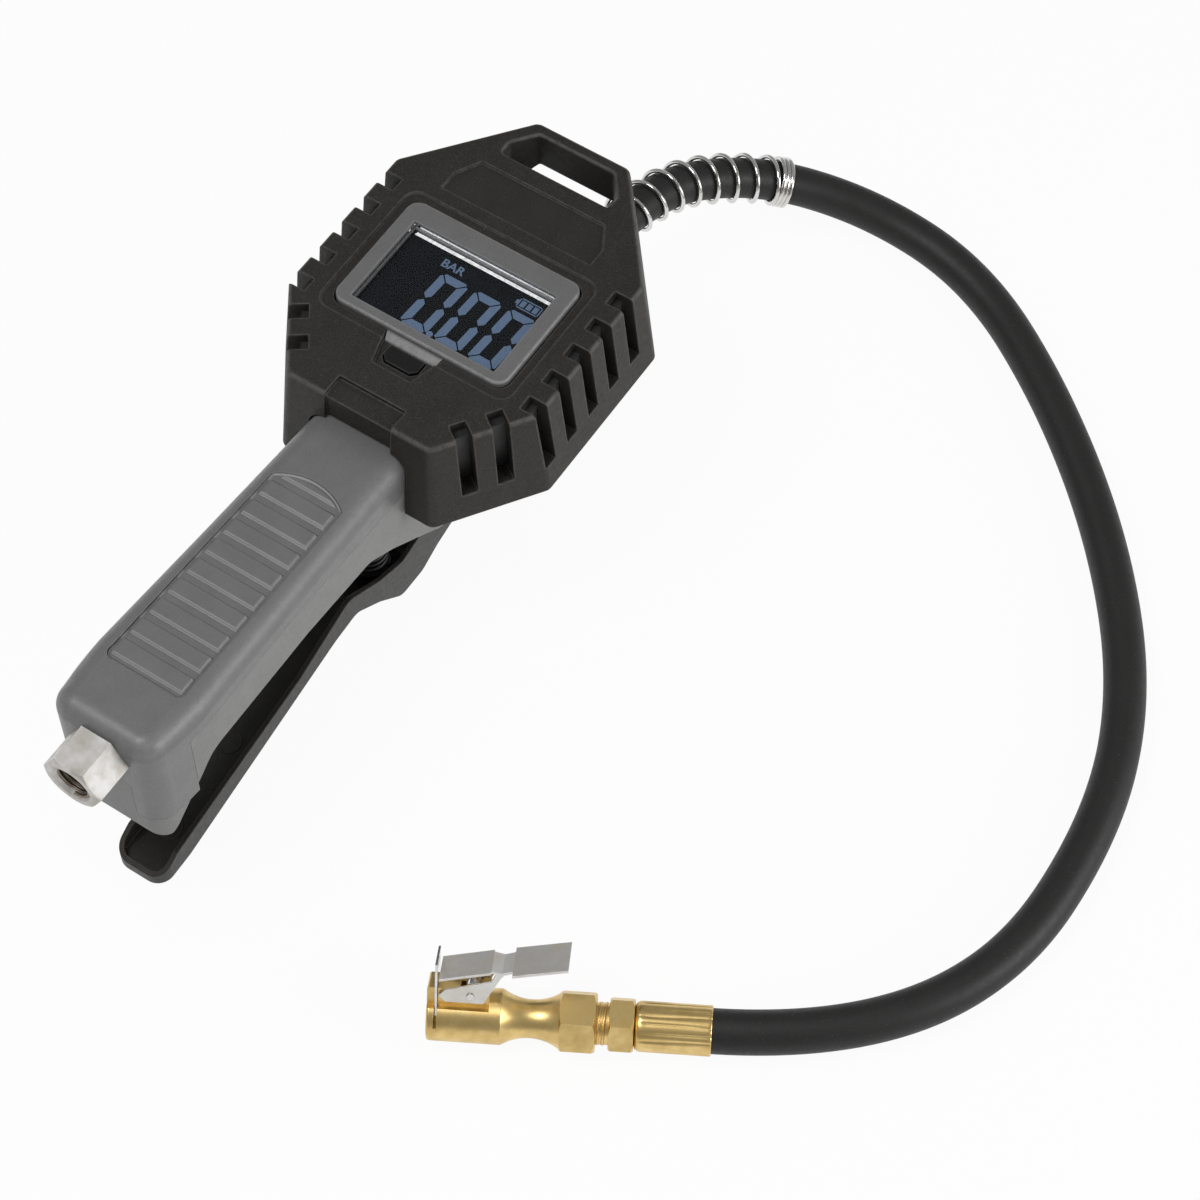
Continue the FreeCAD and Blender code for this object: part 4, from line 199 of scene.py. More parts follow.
class StageSettings(PropertyGroup):
    """The floor, the light and the view."""
    view_from: FloatVectorProperty(name="View from", description="Place of the camera",
                                   default=(-0.4222, -0.3695, 0.8967), size=3, subtype="TRANSLATION",
                                   unit="LENGTH")
    view_tilt: FloatProperty(name="View tilt", description="Tilt of the camera from straight down",
                             default=math.radians(31.84), subtype="ANGLE", unit="ROTATION")
    view_turn: FloatProperty(name="View turn", description="Turn of the camera about the upright",
                             default=math.radians(-56.63), subtype="ANGLE", unit="ROTATION")
    lens: FloatProperty(name="Lens", description="Focal length in millimetres", default=99.0,
                        min=10.0, max=300.0)
    key: FloatProperty(name="Key light", description="Power of the lamp overhead", default=5.8,
                       min=0.0, unit="POWER")
    side: FloatProperty(name="Side light", description="Power of the lamp at the side", default=6.8,
                        min=0.0, unit="POWER")
    sky: FloatProperty(name="Sky", description="Strength of the light from all round", default=0.34,
                       min=0.0)
    floor: colour("Floor", "Colour of the floor", (0.80, 0.80, 0.80))


class InflatorSettings(PropertyGroup):
    """All settings of the inflator."""
    hose: PointerProperty(type=HoseSizes, name="Hose", description="Hose and spring guard")
    display: PointerProperty(type=DisplaySizes, name="Display", description="Signs on the display")
    pad: PointerProperty(type=PadSizes, name="Pad", description="Bars on the grip's pad")
    metal: PointerProperty(type=MetalSizes, name="Metal", description="Threads and crimps")
    colours: PointerProperty(type=FinishColours, name="Colours", description="Colours of the finishes")
    stage: PointerProperty(type=StageSettings, name="Stage", description="Floor, light and view")


# Nodes written as expressions


class Field:
    """A node's output that takes part in Python sums; every sum adds its Math node."""

    def __init__(self, tree, socket):
        self.tree = tree
        self.socket = socket

    def math(self, operation, *values):
        node = self.tree.nodes.new("ShaderNodeMath")
        node.operation = operation
        for slot, value in zip(node.inputs, values):
            feed(self.tree, slot, value)
        return Field(self.tree, node.outputs[0])

    def __add__(self, other):
        return self.math("ADD", self, other)

    def __radd__(self, other):
        return self.math("ADD", other, self)

    def __sub__(self, other):
        return self.math("SUBTRACT", self, other)

    def __rsub__(self, other):
        return self.math("SUBTRACT", other, self)

    def __mul__(self, other):
        return self.math("MULTIPLY", self, other)

    def __rmul__(self, other):
        return self.math("MULTIPLY", other, self)

    def __truediv__(self, other):
        return self.math("DIVIDE", self, other)

    def __rtruediv__(self, other):
        return self.math("DIVIDE", other, self)

    def __gt__(self, other):
        return self.math("GREATER_THAN", self, other)

    def least(self, other):
        return self.math("MINIMUM", self, other)

    def most(self, other):
        return self.math("MAXIMUM", self, other)


def feed(tree, slot, value):
    """Links a field to a socket, or sets the socket to a plain value."""
    if isinstance(value, Field):
        tree.links.new(value.socket, slot)
    else:
        slot.default_value = value


class Web:
    """A node tree with one method that adds any node."""

    def __init__(self, tree):
        self.tree = tree

    def node(self, kind, settings=None, values=None, output=0):
        """Adds a node, sets its settings, then its sockets by name or number, and returns one output."""
        node = self.tree.nodes.new(kind)
        for word, setting in (settings or {}).items():
            setattr(node, word, setting)
        for name, value in (values or {}).items():
            feed(self.tree, node.inputs[name], value)
        return Field(self.tree, node.outputs[output])


class Finish(Web):
    """A material round one Principled shader, with patterns on Object coordinates."""

    def __init__(self, name, **constants):
        self.material = bpy.data.materials.new("inflator_" + name)
        self.material.use_nodes = True
        super().__init__(self.material.node_tree)
        self.shader = self.tree.nodes["Principled BSDF"]
        for word, value in constants.items():
            self.shader.inputs[word.replace("_", " ").title().replace("Ior", "IOR")].default_value = value
        self.spot = self.node("ShaderNodeTexCoord", output="Object")

    def set(self, socket, value):
        feed(self.tree, self.shader.inputs[socket], value)

    def stretched(self, x, y, z):
        """Object coordinates scaled along each axis, for drawn or brushed patterns."""
        return self.node("ShaderNodeMapping", {"vector_type": "POINT"},
                         {"Vector": self.spot, "Scale": (x, y, z)})

    def noise(self, size, detail=3.0, rough=0.55, spot=None):
        """Noise whose features are about this many millimetres across."""
        return self.node("ShaderNodeTexNoise", {"noise_dimensions": "3D"},
                         {"Vector": spot or self.spot, "Scale": 1.0 / (size * MM), "Detail": detail,
                          "Roughness": rough})

    def cells(self, size):
        """Distance to the nearest of scattered points about this many millimetres apart."""
        return self.node("ShaderNodeTexVoronoi", {"feature": "F1"},
                         {"Vector": self.spot, "Scale": 1.0 / (size * MM)}, output="Distance")

    def component(self, vector, axis):
        """One of a vector's three numbers."""
        return self.node("ShaderNodeSeparateXYZ", values={0: vector}, output=axis)

    def ranged(self, value, low, high, to_low=0.0, to_high=1.0):
        """Maps a value from one range to another and keeps it inside."""
        return self.node("ShaderNodeMapRange", {"clamp": True},
                         {"Value": value, "From Min": low, "From Max": high,
                          "To Min": to_low, "To Max": to_high})

    def blend(self, factor, first, second):
        """A colour between two colours."""
        return self.node("ShaderNodeMix", {"data_type": "RGBA"},
                         {0: factor, 6: shade(first), 7: shade(second)}, output=2)

    def colour_now(self):
        """The colour that is linked already, so that more can go over it."""
        return Field(self.tree, self.shader.inputs["Base Color"].links[0].from_socket)

    def rounded(self, size):
        """The surface's direction, with edges rounded by this many millimetres."""
        return self.node("ShaderNodeBevel", {"samples": 6}, {"Radius": size * MM})

    def edges(self, size):
        """Bright along edges that are sharper than this radius in millimetres."""
        flat = self.node("ShaderNodeNewGeometry", output="True Normal")
        cosine = self.node("ShaderNodeVectorMath", {"operation": "DOT_PRODUCT"},
                           {0: self.rounded(size), 1: flat}, output="Value")
        return (1.0 - cosine).most(0.0)

    def shoulders(self, size):
        """Mask for a painted sheen: bright where a surface turns from lying flat to standing upright, over
        this many millimetres.
        """
        level = self.component(self.rounded(size), 2)
        not_flat = self.ranged(level, 0.985, 0.85)
        not_upright = self.ranged(level, 0.12, 0.40)
        return not_flat * not_upright

    def relief(self, height, depth, rounding=None):
        """Bump of this many millimetres, over edges rounded by this many millimetres."""
        values = {"Height": height, "Distance": depth * MM, "Strength": 1.0}
        if rounding:
            values["Normal"] = self.rounded(rounding)
        self.set("Normal", self.node("ShaderNodeBump", {}, values))


def grey(value):
    """A grey of this brightness."""
    return (value, value, value)


def shade(value):
    """A colour of three numbers with its alpha added; fields stay as they are."""
    return value if isinstance(value, Field) else (*tuple(value)[:3], 1.0)


class Recipe(Web):
    """A Geometry Nodes tree with named inputs, built here and turned into a plain mesh."""

    def __init__(self, name, **inputs):
        tree = bpy.data.node_groups.new(name, "GeometryNodeTree")
        tree.interface.new_socket("Geometry", in_out="INPUT", socket_type="NodeSocketGeometry")
        for word, value in inputs.items():
            kind = "NodeSocketInt" if isinstance(value, int) else "NodeSocketFloat"
            tree.interface.new_socket(word, in_out="INPUT", socket_type=kind)
        tree.interface.new_socket("Geometry", in_out="OUTPUT", socket_type="NodeSocketGeometry")
        super().__init__(tree)
        self.values = inputs
        self.source = tree.nodes.new("NodeGroupInput")
        self.sink = tree.nodes.new("NodeGroupOutput")

    def __getitem__(self, word):
        return Field(self.tree, self.source.outputs[word])

    def make(self, name, geometry, material, start=None):
        """Ends the tree, runs it on a start mesh and returns the result as a new object."""
        real = self.node("GeometryNodeRealizeInstances", values={0: geometry})
        smooth = self.node("GeometryNodeSetShadeSmooth", {"domain": "FACE"}, {"Geometry": real})
        done = self.node("GeometryNodeSetMaterial", values={"Geometry": smooth, "Material": material})
        self.tree.links.new(done.socket, self.sink.inputs[0])
        carrier = bpy.data.objects.new(name + "_start", start or bpy.data.meshes.new(name + "_start"))
        bpy.context.scene.collection.objects.link(carrier)
        modifier = carrier.modifiers.new(name, "NODES")
        modifier.node_group = self.tree
        for item in self.tree.interface.items_tree:
            if item.item_type == "SOCKET" and item.in_out == "INPUT" and item.name in self.values:
                modifier[item.identifier] = self.values[item.name]
        bpy.context.view_layer.update()
        mesh = plain_mesh(carrier)
        bpy.data.objects.remove(carrier)
        return link(name, mesh, material)


def plain_mesh(piece):
    """An object's final shape as a mesh of its own."""
    graph = bpy.context.evaluated_depsgraph_get()
    return bpy.data.meshes.new_from_object(piece.evaluated_get(graph), depsgraph=graph)


def link(name, mesh, material):
    """A new object for a mesh, with one finish."""
    mesh.name = name
    mesh.materials.clear()
    mesh.materials.append(material)
    piece = bpy.data.objects.new(name, mesh)
    bpy.context.scene.collection.objects.link(piece)
    return piece


def mesh_of(name, points, faces, material, smooth=True):
    """A piece from points and faces, with its doubles merged and its faces turned outwards."""
    mesh = bpy.data.meshes.new(name)
    mesh.from_pydata([tuple(point) for point in points], [], faces)
    shape = bmesh.new()
    shape.from_mesh(mesh)
    bmesh.ops.remove_doubles(shape, verts=shape.verts, dist=MERGE)
    bmesh.ops.recalc_face_normals(shape, faces=shape.faces)
    for face in shape.faces:
        face.smooth = smooth
    shape.to_mesh(mesh)
    shape.free()
    return link(name, mesh, material)


def joined_rings(rings, count):
    """Faces between rings of this many points each, with a cap on the first ring and the last."""
    faces = []
    for ring in range(rings - 1):
        low, high = ring * count, (ring + 1) * count
        for number in range(count):
            after = (number + 1) % count
            faces.append([low + number, low + after, high + after, high + number])
    last = (rings - 1) * count
    return faces + [list(range(count)), list(range(last, last + count))]


def settings():
    """The values that a user may change."""
    return bpy.context.scene.inflator


def finish_of(name):
    """A finish made before, by its name."""
    material = bpy.data.materials.get("inflator_" + name)
    if material is None:
        raise RuntimeError("the finish %s is not made yet" % name)
    return material


# Finishes


DUST = (0.15, 0.125, 0.095)
TARNISH_TINT = (0.98, 0.94, 0.86)


def moulded(name, base, rough, grain, depth, mottle=0.10, wear_and_sheen=0.25, rounding=0.35, fleck=0.0, pale=None,
            gloss=1.45, edge=0.7):
    """A moulded plastic or rubber: fine grain, slight mottling, dull spots, paler edges and stray flecks.
    The paler edges are partly wear and partly a painted highlight on rounded edges and shoulders.

    The grain, its depth, the rounding and the edge are millimetres.
    """
    finish = Finish(name, ior=gloss)
    base = tuple(base)
    pale = pale or tuple(part * 1.9 + 0.02 for part in base)
    darker = tuple(part * (1.0 - mottle) for part in base)
    lighter = tuple(part * (1.0 + mottle) for part in base)
    cloud = finish.ranged(finish.noise(9.0, 4.0), 0.35, 0.65)
    fine = finish.noise(grain, 2.0, 0.6)
    ground = finish.blend(cloud, darker, lighter)
    ground = finish.blend(finish.ranged(fine, 0.45, 0.75) * 0.35, ground, pale)
    if fleck:
        specks = finish.ranged(finish.cells(1.5), 0.04, 0.13, 1.0, 0.0)
        patches = finish.ranged(finish.noise(3.0), 0.44, 0.56)
        ground = finish.blend(specks * patches * fleck, ground, DUST)
    # Paler edges and shoulders: partly wear, partly a painted highlight on rounded edges and a painted sheen
    # where tops turn down to sides.
    if wear_and_sheen:
        turned = finish.ranged(finish.edges(edge), 0.005, 0.12).most(finish.shoulders(edge))
        rub_and_sheen = turned * finish.ranged(finish.noise(2.2, 4.0), 0.15, 0.55)
        ground = finish.blend(rub_and_sheen * wear_and_sheen, ground, pale)
    dull = finish.ranged(finish.noise(1.6, 3.0), 0.3, 0.7, rough - 0.05, rough + 0.06)
    finish.set("Base Color", ground)
    finish.set("Roughness", dull)
    finish.relief(fine, depth, rounding)
    return finish


def turned_metal(name, base, rough, lines, along, tarnish=0.12, depth=0.01, rounding=0.15):
    """A machined or plated metal with fine tool lines across one direction and slight tarnish.

    The lines' spacing, their depth and the rounding are millimetres.
    """
    finish = Finish(name, metallic=1.0)
    base = tuple(base)
    dull = tuple(part * (1.0 - tarnish) * tint for part, tint in zip(base, TARNISH_TINT))
    streak = finish.noise(lines, 2.0, 0.5, finish.stretched(*along))
    cloud = finish.noise(5.0, 4.0)
    gloss = finish.ranged(streak * 0.5 + cloud * 0.5, 0.3, 0.7, rough * 0.75, rough * 1.35)
    finish.set("Base Color", finish.blend(finish.ranged(cloud, 0.35, 0.70), base, dull))
    finish.set("Roughness", gloss)
    finish.relief(streak, depth, rounding)
    return finish


def housing_finish(base):
    """The housing's grey, with a painted shade: dark below the bezel that stands up through the boot, for
    the shade inside the boot's slots.
    """
    finish = moulded("housing_grey", base, 0.42, 0.22, 0.04, mottle=0.04, wear_and_sheen=0.75, rounding=0.4,
                     edge=0.9)
    # Painted shade: below this height the grey is painted dark, for the shade deep in the boot's slots.
    above_shade = finish.component(finish.spot, 2) > HOUSING_SHADE_TOP
    finish.set("Base Color", finish.blend(above_shade, grey(0.022), finish.colour_now()))
    return finish


def pad_finish(base):
    """The pad's rubber, with a painted highlight on the bars' flanks towards the inlet and a painted shade
    on those to the head.
    """
    finish = moulded("pad_rubber", base, 0.40, 0.22, 0.04, mottle=0.05, wear_and_sheen=0.35, rounding=0.2,
                     edge=0.35)
    # Painted light and shade by facing: flanks that face the inlet are painted pale, those that face the
    # head painted dark.
    lean = finish.component(finish.node("ShaderNodeTexCoord", output="Normal"), 0)
    to_inlet = finish.ranged(lean, -0.25, -0.55) * 0.8
    to_head = finish.ranged(lean, 0.25, 0.55) * 0.8
    highlit_flanks = finish.blend(to_inlet, finish.colour_now(), grey(0.34))
    finish.set("Base Color", finish.blend(to_head, highlit_flanks, grey(0.065)))
    return finish


def window_finish():
    """Polished clear plastic: what isn't reflected passes straight through."""
    finish = Finish("window", metallic=1.0, roughness=0.03)
    finish.set("Base Color", shade((0.95, 0.97, 1.0)))
    gloss = finish.node("ShaderNodeFresnel", values={"IOR": 1.15})
    finish.set("Alpha", finish.ranged(gloss, 0.0, 1.0, 0.004, 0.8))
    return finish


def display_finish(base):
    """The display's dark glossy ground, slightly clouded."""
    finish = Finish("display", roughness=0.3, ior=1.2)
    base = tuple(base)
    paler = tuple(part * 1.5 + 0.001 for part in base)
    finish.set("Base Color", finish.blend(finish.ranged(finish.noise(6.0), 0.3, 0.7), base, paler))
    finish.set("Roughness", finish.ranged(finish.noise(3.0), 0.3, 0.7, 0.26, 0.34))
    return finish


def reflection_strips_finish():
    """A painted reflection with a faint glow: the bright clouded strips beside the display stand in for the
    window's bevelled edge reflecting the light.
    """
    finish = Finish("strips", roughness=0.35, emission_strength=0.3)
    bright = finish.ranged(finish.noise(1.1, 2.0), 0.35, 0.65)
    finish.set("Base Color", finish.blend(bright, (0.70, 0.71, 0.73), (0.95, 0.96, 0.98)))
    # Painted glow: the strips give light though they are no lamp.
    finish.set("Emission Color", finish.blend(bright, grey(0.5), grey(1.0)))
    return finish


def signs_finish(base):
    """The display's lit signs, with a faint glow."""
    finish = Finish("signs", roughness=0.5, emission_strength=0.08)
    base = tuple(base)
    paler = tuple(part * 1.15 for part in base)
    finish.set("Base Color", finish.blend(finish.ranged(finish.noise(1.2), 0.3, 0.7), base, paler))
    finish.set("Emission Color", shade(base))
    return finish


def make_finishes():
    """Every finish. A moulded one's numbers are its roughness, its grain and the grain's depth."""
    tint = settings().colours
    moulded("boot_rubber", tint.boot, 0.52, 0.32, 0.10, mottle=0.14, wear_and_sheen=0.80, rounding=0.6, fleck=0.7,
            pale=(0.100, 0.094, 0.086), gloss=1.34, edge=1.1)
    housing_finish(tint.housing)
    moulded("grip_grey", tint.grip, 0.36, 0.25, 0.05, mottle=0.05, wear_and_sheen=0.20, rounding=0.5, gloss=1.5)
    # Painted light: the lower half's lighter grey stands in for the light on its lit side.
    moulded("lower_grey", tint.lower, 0.44, 0.25, 0.05, mottle=0.05, wear_and_sheen=0.20, rounding=0.5)
    moulded("cover_dark", grey(0.05), 0.45, 0.22, 0.04)
    pad_finish(tint.grip)
    moulded("button_dark", grey(0.005), 0.45, 0.20, 0.05, mottle=0.05, wear_and_sheen=0.6, rounding=0.3, fleck=0.2,
            pale=grey(0.05), gloss=1.30)
    moulded("strip_rubber", grey(0.5), 0.6, 0.3, 0.03)
    moulded("board_green", (0.02, 0.12, 0.04), 0.3, 0.6, 0.02)
    moulded("tube_clear", grey(0.6), 0.3, 0.5, 0.01)
    moulded("cell_wrap", (0.05, 0.05, 0.06), 0.3, 0.8, 0.01)
    moulded("seal_rubber", grey(0.02), 0.5, 0.3, 0.02)
    moulded("plunger_plastic", grey(0.012), 0.45, 0.3, 0.02)
    moulded("spring_black", grey(0.010), 0.45, 0.3, 0.02)
    moulded("lever_black", tint.lever, 0.40, 0.30, 0.05, wear_and_sheen=0.60, rounding=0.6, fleck=0.3,
            pale=(0.055, 0.051, 0.046), gloss=1.38, edge=1.0)
    moulded("hose_rubber", tint.hose, 0.50, 0.30, 0.03, mottle=0.08, wear_and_sheen=0.0, rounding=None, fleck=0.6,
            gloss=1.40)
    turned_metal("steel", tint.steel, 0.14, 0.5, (1, 1, 1))
    turned_metal("nickel", tint.nickel, 0.42, 0.35, (1, 1, 6), tarnish=0.08)
    turned_metal("brass", tint.brass, 0.34, 0.30, (1, 1, 1), tarnish=0.20)
    turned_metal("inlet_alloy", tint.inlet, 0.40, 0.30, (1, 6, 6), tarnish=0.25, depth=0.05)
    turned_metal("thread_alloy", (0.30, 0.25, 0.20), 0.35, 0.30, (1, 6, 6), tarnish=0.40, depth=0.02)
    turned_metal("pipe_alloy", (0.70, 0.70, 0.72), 0.3, 0.4, (1, 6, 6))
    window_finish()
    display_finish(tint.display)
    reflection_strips_finish()
    signs_finish(tint.signs)


# Pieces


class INFLATOR_OT_camera(Operator):
    """Sets the camera where the photograph was taken from"""
    bl_idname = "inflator.camera"
    bl_label = "Camera"

    def execute(self, context):
        stage = settings().stage
        data = bpy.data.cameras.new("camera")
        data.lens = stage.lens
        data.sensor_width = 36.0
        data.clip_start = 0.01
        camera = bpy.data.objects.new("camera", data)
        camera.location = stage.view_from
        camera.rotation_euler = (stage.view_tilt, 0.0, stage.view_turn)
        context.scene.collection.objects.link(camera)
        context.scene.camera = camera
        context.scene.view_settings.view_transform = "Standard"
        return {"FINISHED"}


class INFLATOR_OT_hose(Operator):
    """Lays the hose along its route, from the outlet to the ferrule"""
    bl_idname = "inflator.hose"
    bl_label = "Hose"

    def execute(self, context):
        curve = bpy.data.curves.new("inflator_hose", "CURVE")
        curve.dimensions = "3D"
        spline = curve.splines.new("NURBS")
        spline.points.add(len(HOSE_ROUTE) - 1)
        for point, place in zip(spline.points, HOSE_ROUTE):
            point.co = (*place, 1.0)
        spline.order_u = 3
        spline.use_endpoint_u = True
        spline.resolution_u = 24
        hose = bpy.data.objects.new("inflator_hose", curve)
        context.scene.collection.objects.link(hose)
        line = plain_mesh(hose)
        line.name = "hose_line"
        places = [vertex.co for vertex in line.vertices]
        steps = [(second - first).length for first, second in zip(places, places[1:])]
        curve.bevel_depth = settings().hose.hose_radius
        curve.bevel_resolution = 8
        curve.use_fill_caps = True
        curve.materials.append(finish_of("hose_rubber"))
        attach(hose, "tool")
        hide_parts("hose")
        hose["laid_length"] = sum(steps)
        return {"FINISHED"}


class INFLATOR_OT_guard(Operator):
    """Winds the spring guard round the hose's first stretch, with touching turns at its free end"""
    bl_idname = "inflator.guard"
    bl_label = "Spring guard"

    def execute(self, context):
        sizes = settings().hose
        turns = sizes.guard_turns + sizes.guard_closed
        points_a_turn, packed_pitch = 36, 2.04
        recipe = Recipe("guard_coil", Reach=sizes.guard_long, Wire=sizes.guard_wire,
                        Radius=sizes.hose_radius + sizes.guard_gap + sizes.guard_wire,
                        Open=sizes.guard_turns, Closed=sizes.guard_closed,
                        Points=int(turns * points_a_turn))
        line = recipe.node("GeometryNodeMeshToCurve", values={0: recipe["Geometry"]})
        count = recipe["Points"]
        rail = recipe.node("GeometryNodeMeshLine", {"mode": "OFFSET"}, {"Count": count})
        step = recipe.node("GeometryNodeInputIndex") / (count - 1.0)
        turn = step * (recipe["Open"] + recipe["Closed"])
        packed = recipe["Closed"] * recipe["Wire"] * packed_pitch
        spread = (turn / recipe["Open"]).least(1.0) * (recipe["Reach"] - packed)
        reach = spread + (turn - recipe["Open"]).most(0.0) * recipe["Wire"] * packed_pitch
        sample = recipe.tree.nodes.new("GeometryNodeSampleCurve")
        sample.mode = "LENGTH"
        feed(recipe.tree, sample.inputs["Curves"], line)
        feed(recipe.tree, sample.inputs["Length"], reach)
        centre, tangent, normal = (Field(recipe.tree, sample.outputs[word])
                                   for word in ("Position", "Tangent", "Normal"))
        side = recipe.node("ShaderNodeVectorMath", {"operation": "CROSS_PRODUCT"},
                           {0: tangent, 1: normal})
        angle = turn * (2 * math.pi)
        outward = []
        for axis, part in ((normal, angle.math("COSINE", angle)), (side, angle.math("SINE", angle))):
            outward.append(recipe.node("ShaderNodeVectorMath", {"operation": "SCALE"},
                                       {0: axis, "Scale": part * recipe["Radius"]}))
        spoke = recipe.node("ShaderNodeVectorMath", {"operation": "ADD"}, {0: outward[0], 1: outward[1]})
        place = recipe.node("ShaderNodeVectorMath", {"operation": "ADD"}, {0: centre, 1: spoke})
        bent = recipe.node("GeometryNodeSetPosition", values={"Geometry": rail, "Position": place})
        wire = recipe.node("GeometryNodeMeshToCurve", values={0: bent})
        ring = recipe.node("GeometryNodeCurvePrimitiveCircle", {"mode": "RADIUS"},
                           {"Resolution": 10, "Radius": recipe["Wire"]})
        coil = recipe.node("GeometryNodeCurveToMesh", values={"Curve": wire, "Profile Curve": ring,
                                                              "Fill Caps": True})
        guard = recipe.make("inflator_guard", coil, finish_of("steel"), bpy.data.meshes["hose_line"])
        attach(guard, "tool")
        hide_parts("spring_guard")
        return {"FINISHED"}


def on_display(right, up):
    """A place on the display, to the right of its middle and upwards as it is read, in metres."""
    return Vector((HEAD.x + up, -right, SIGN_LEVEL))


def nought(sizes):
    """The six segments of a nought: mitred and clipped corners, and pointed ends at half height."""
    wide, tall, bar, gap = sizes.digit_wide, sizes.digit_tall, sizes.bar_wide, sizes.bar_gap
    clip, half, middle = bar * 0.36, bar * 0.5, tall * 0.5
    inner = clip * 0.6
    level = [(clip + gap, tall), (wide - clip - gap, tall), (wide - inner - gap, tall - inner),
             (wide - bar - gap, tall - bar), (bar + gap, tall - bar), (inner + gap, tall - inner)]
    upright = [(0.0, tall - clip - gap), (inner, tall - inner - gap), (bar, tall - bar - gap),
               (bar, middle + half + gap), (half, middle + gap), (0.0, middle + half + gap)]
    shapes = [level, upright, [(wide - across, up) for across, up in upright]]
    return shapes + [[(across, tall - up) for across, up in shape] for shape in shapes]


def block(left, low, right, high):
    """The outline of an upright rectangle."""
    return [(left, low), (right, low), (right, high), (left, high)]


def digit_outlines(sizes):
    """Slanted noughts in a row, and the round dot after the first."""
    outlines = []
    for number in range(DIGITS):
        left = DIGITS_LEFT + sizes.digit_pitch * number
        for shape in nought(sizes):
            outlines.append([(left + across + math.tan(sizes.slant) * up, DIGITS_LOW + up)
                             for across, up in shape])
    turns = [math.radians(15 * step) for step in range(24)]
    outlines.append([(DOT_PLACE[0] + math.cos(turn) * DOT_RADIUS, DOT_PLACE[1] + math.sin(turn) * DOT_RADIUS)
                     for turn in turns])
    return outlines


def battery_outlines():
    """The battery sign: its case, its tip and three full cells."""
    left, low, right, high = BATTERY_SIGN
    rim, tip, tip_inset = 0.00045, 0.0008, 0.0012
    cell, pitch, side_inset, inset = 0.0017, 0.00225, 0.0009, 0.0008
    outlines = [block(left, low, right, low + rim), block(left, high - rim, right, high),
                block(left, low, left + rim, high), block(right - rim, low, right, high),
                block(left - tip, low + tip_inset, left, high - tip_inset)]
    for number in range(3):
        start = left + side_inset + number * pitch
        outlines.append(block(start, low + inset, start + cell, high - inset))
    return outlines


def strip_outlines():
    """Two bright strips along the display's upper edge, a painted reflection of the window's edge, with nine
    short contacts between them.
    """
    outlines = [block(-0.0261, 0.0098, 0.0262, 0.0108),
                [(-0.0252, 0.0079), (0.0262, 0.0079), (0.0262, 0.0091), (-0.0248, 0.0091)]]
    contact, pitch, first = 0.0004, 0.0019, -0.0072
    for number in range(9):
        start = first + number * pitch
        outlines.append(block(start, 0.0093, start + contact, 0.0096))
    return outlines


def flat_signs(name, outlines, material):
    """Flat shapes on the display, one face from each outline."""
    points, faces = [], []
    for outline in outlines:
        start = len(points)
        points += [on_display(*spot) for spot in outline]
        faces.append(list(range(start, len(points))))
    return mesh_of(name, points, faces, material, smooth=False)


def unit_sign():
    """The unit's word, stretched to its place on the display."""
    word = bpy.data.curves.new("display_unit", "FONT")
    word.body = "BAR"
    word.size = 0.0042
    word.offset = 0.00011
    word.align_x = "LEFT"
    text = bpy.data.objects.new("display_unit", word)
    bpy.context.scene.collection.objects.link(text)
    mesh = plain_mesh(text)
    bpy.data.objects.remove(text)
    lows = Vector([min(vertex.co[axis] for vertex in mesh.vertices) for axis in range(3)])
    highs = Vector([max(vertex.co[axis] for vertex in mesh.vertices) for axis in range(3)])
    for vertex in mesh.vertices:
        along = (vertex.co.x - lows.x) / (highs.x - lows.x)
        up = (vertex.co.y - lows.y) / (highs.y - lows.y)
        vertex.co = on_display(UNIT_PLACE[0] + along * UNIT_WIDE, UNIT_PLACE[1] + up * UNIT_TALL)
    return link("display_unit", mesh, finish_of("signs"))


class INFLATOR_OT_display(Operator):
    """Draws the digits, the unit, the battery sign and the bright strips, a painted reflection, on the
    display
    """
    bl_idname = "inflator.display"
    bl_label = "Display"

    def execute(self, context):
        outlines = digit_outlines(settings().display) + battery_outlines()
        signs = flat_signs("display_signs", outlines, finish_of("signs"))
        unit = unit_sign()
        strips = flat_signs("display_reflection_strips", strip_outlines(), finish_of("strips"))
        for piece in (signs, unit, strips):
            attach(piece, "tool")
        return {"FINISHED"}


class INFLATOR_OT_skirt(Operator):
    """Adds the bezel's sloping skirt above the button"""
    bl_idname = "inflator.skirt"
    bl_label = "Bezel skirt"

    def execute(self, context):
        back, half, taper = 27.5, 10.1, 0.28
        profile = [(-27.52, -0.5), (-28.1, -0.55), (-28.5, -0.8), (-30.2, -1.85), (-30.7, -1.95),
                   (-27.52, -1.98)]
        points = [HEAD + Vector((x, hand * (half + (x + back) * taper), z)) * MM
                  for hand in (-1, 1) for x, z in profile]
        faces = joined_rings(2, len(profile))
        skirt = mesh_of("bezel_skirt", points, faces, finish_of("housing_grey"), smooth=False)
        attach(skirt, "tool")
        return {"FINISHED"}


def eased(value):
    """Rises smoothly from nought to one."""
    share = min(max(value, 0.0), 1.0)
    return share * share * (3.0 - 2.0 * share)


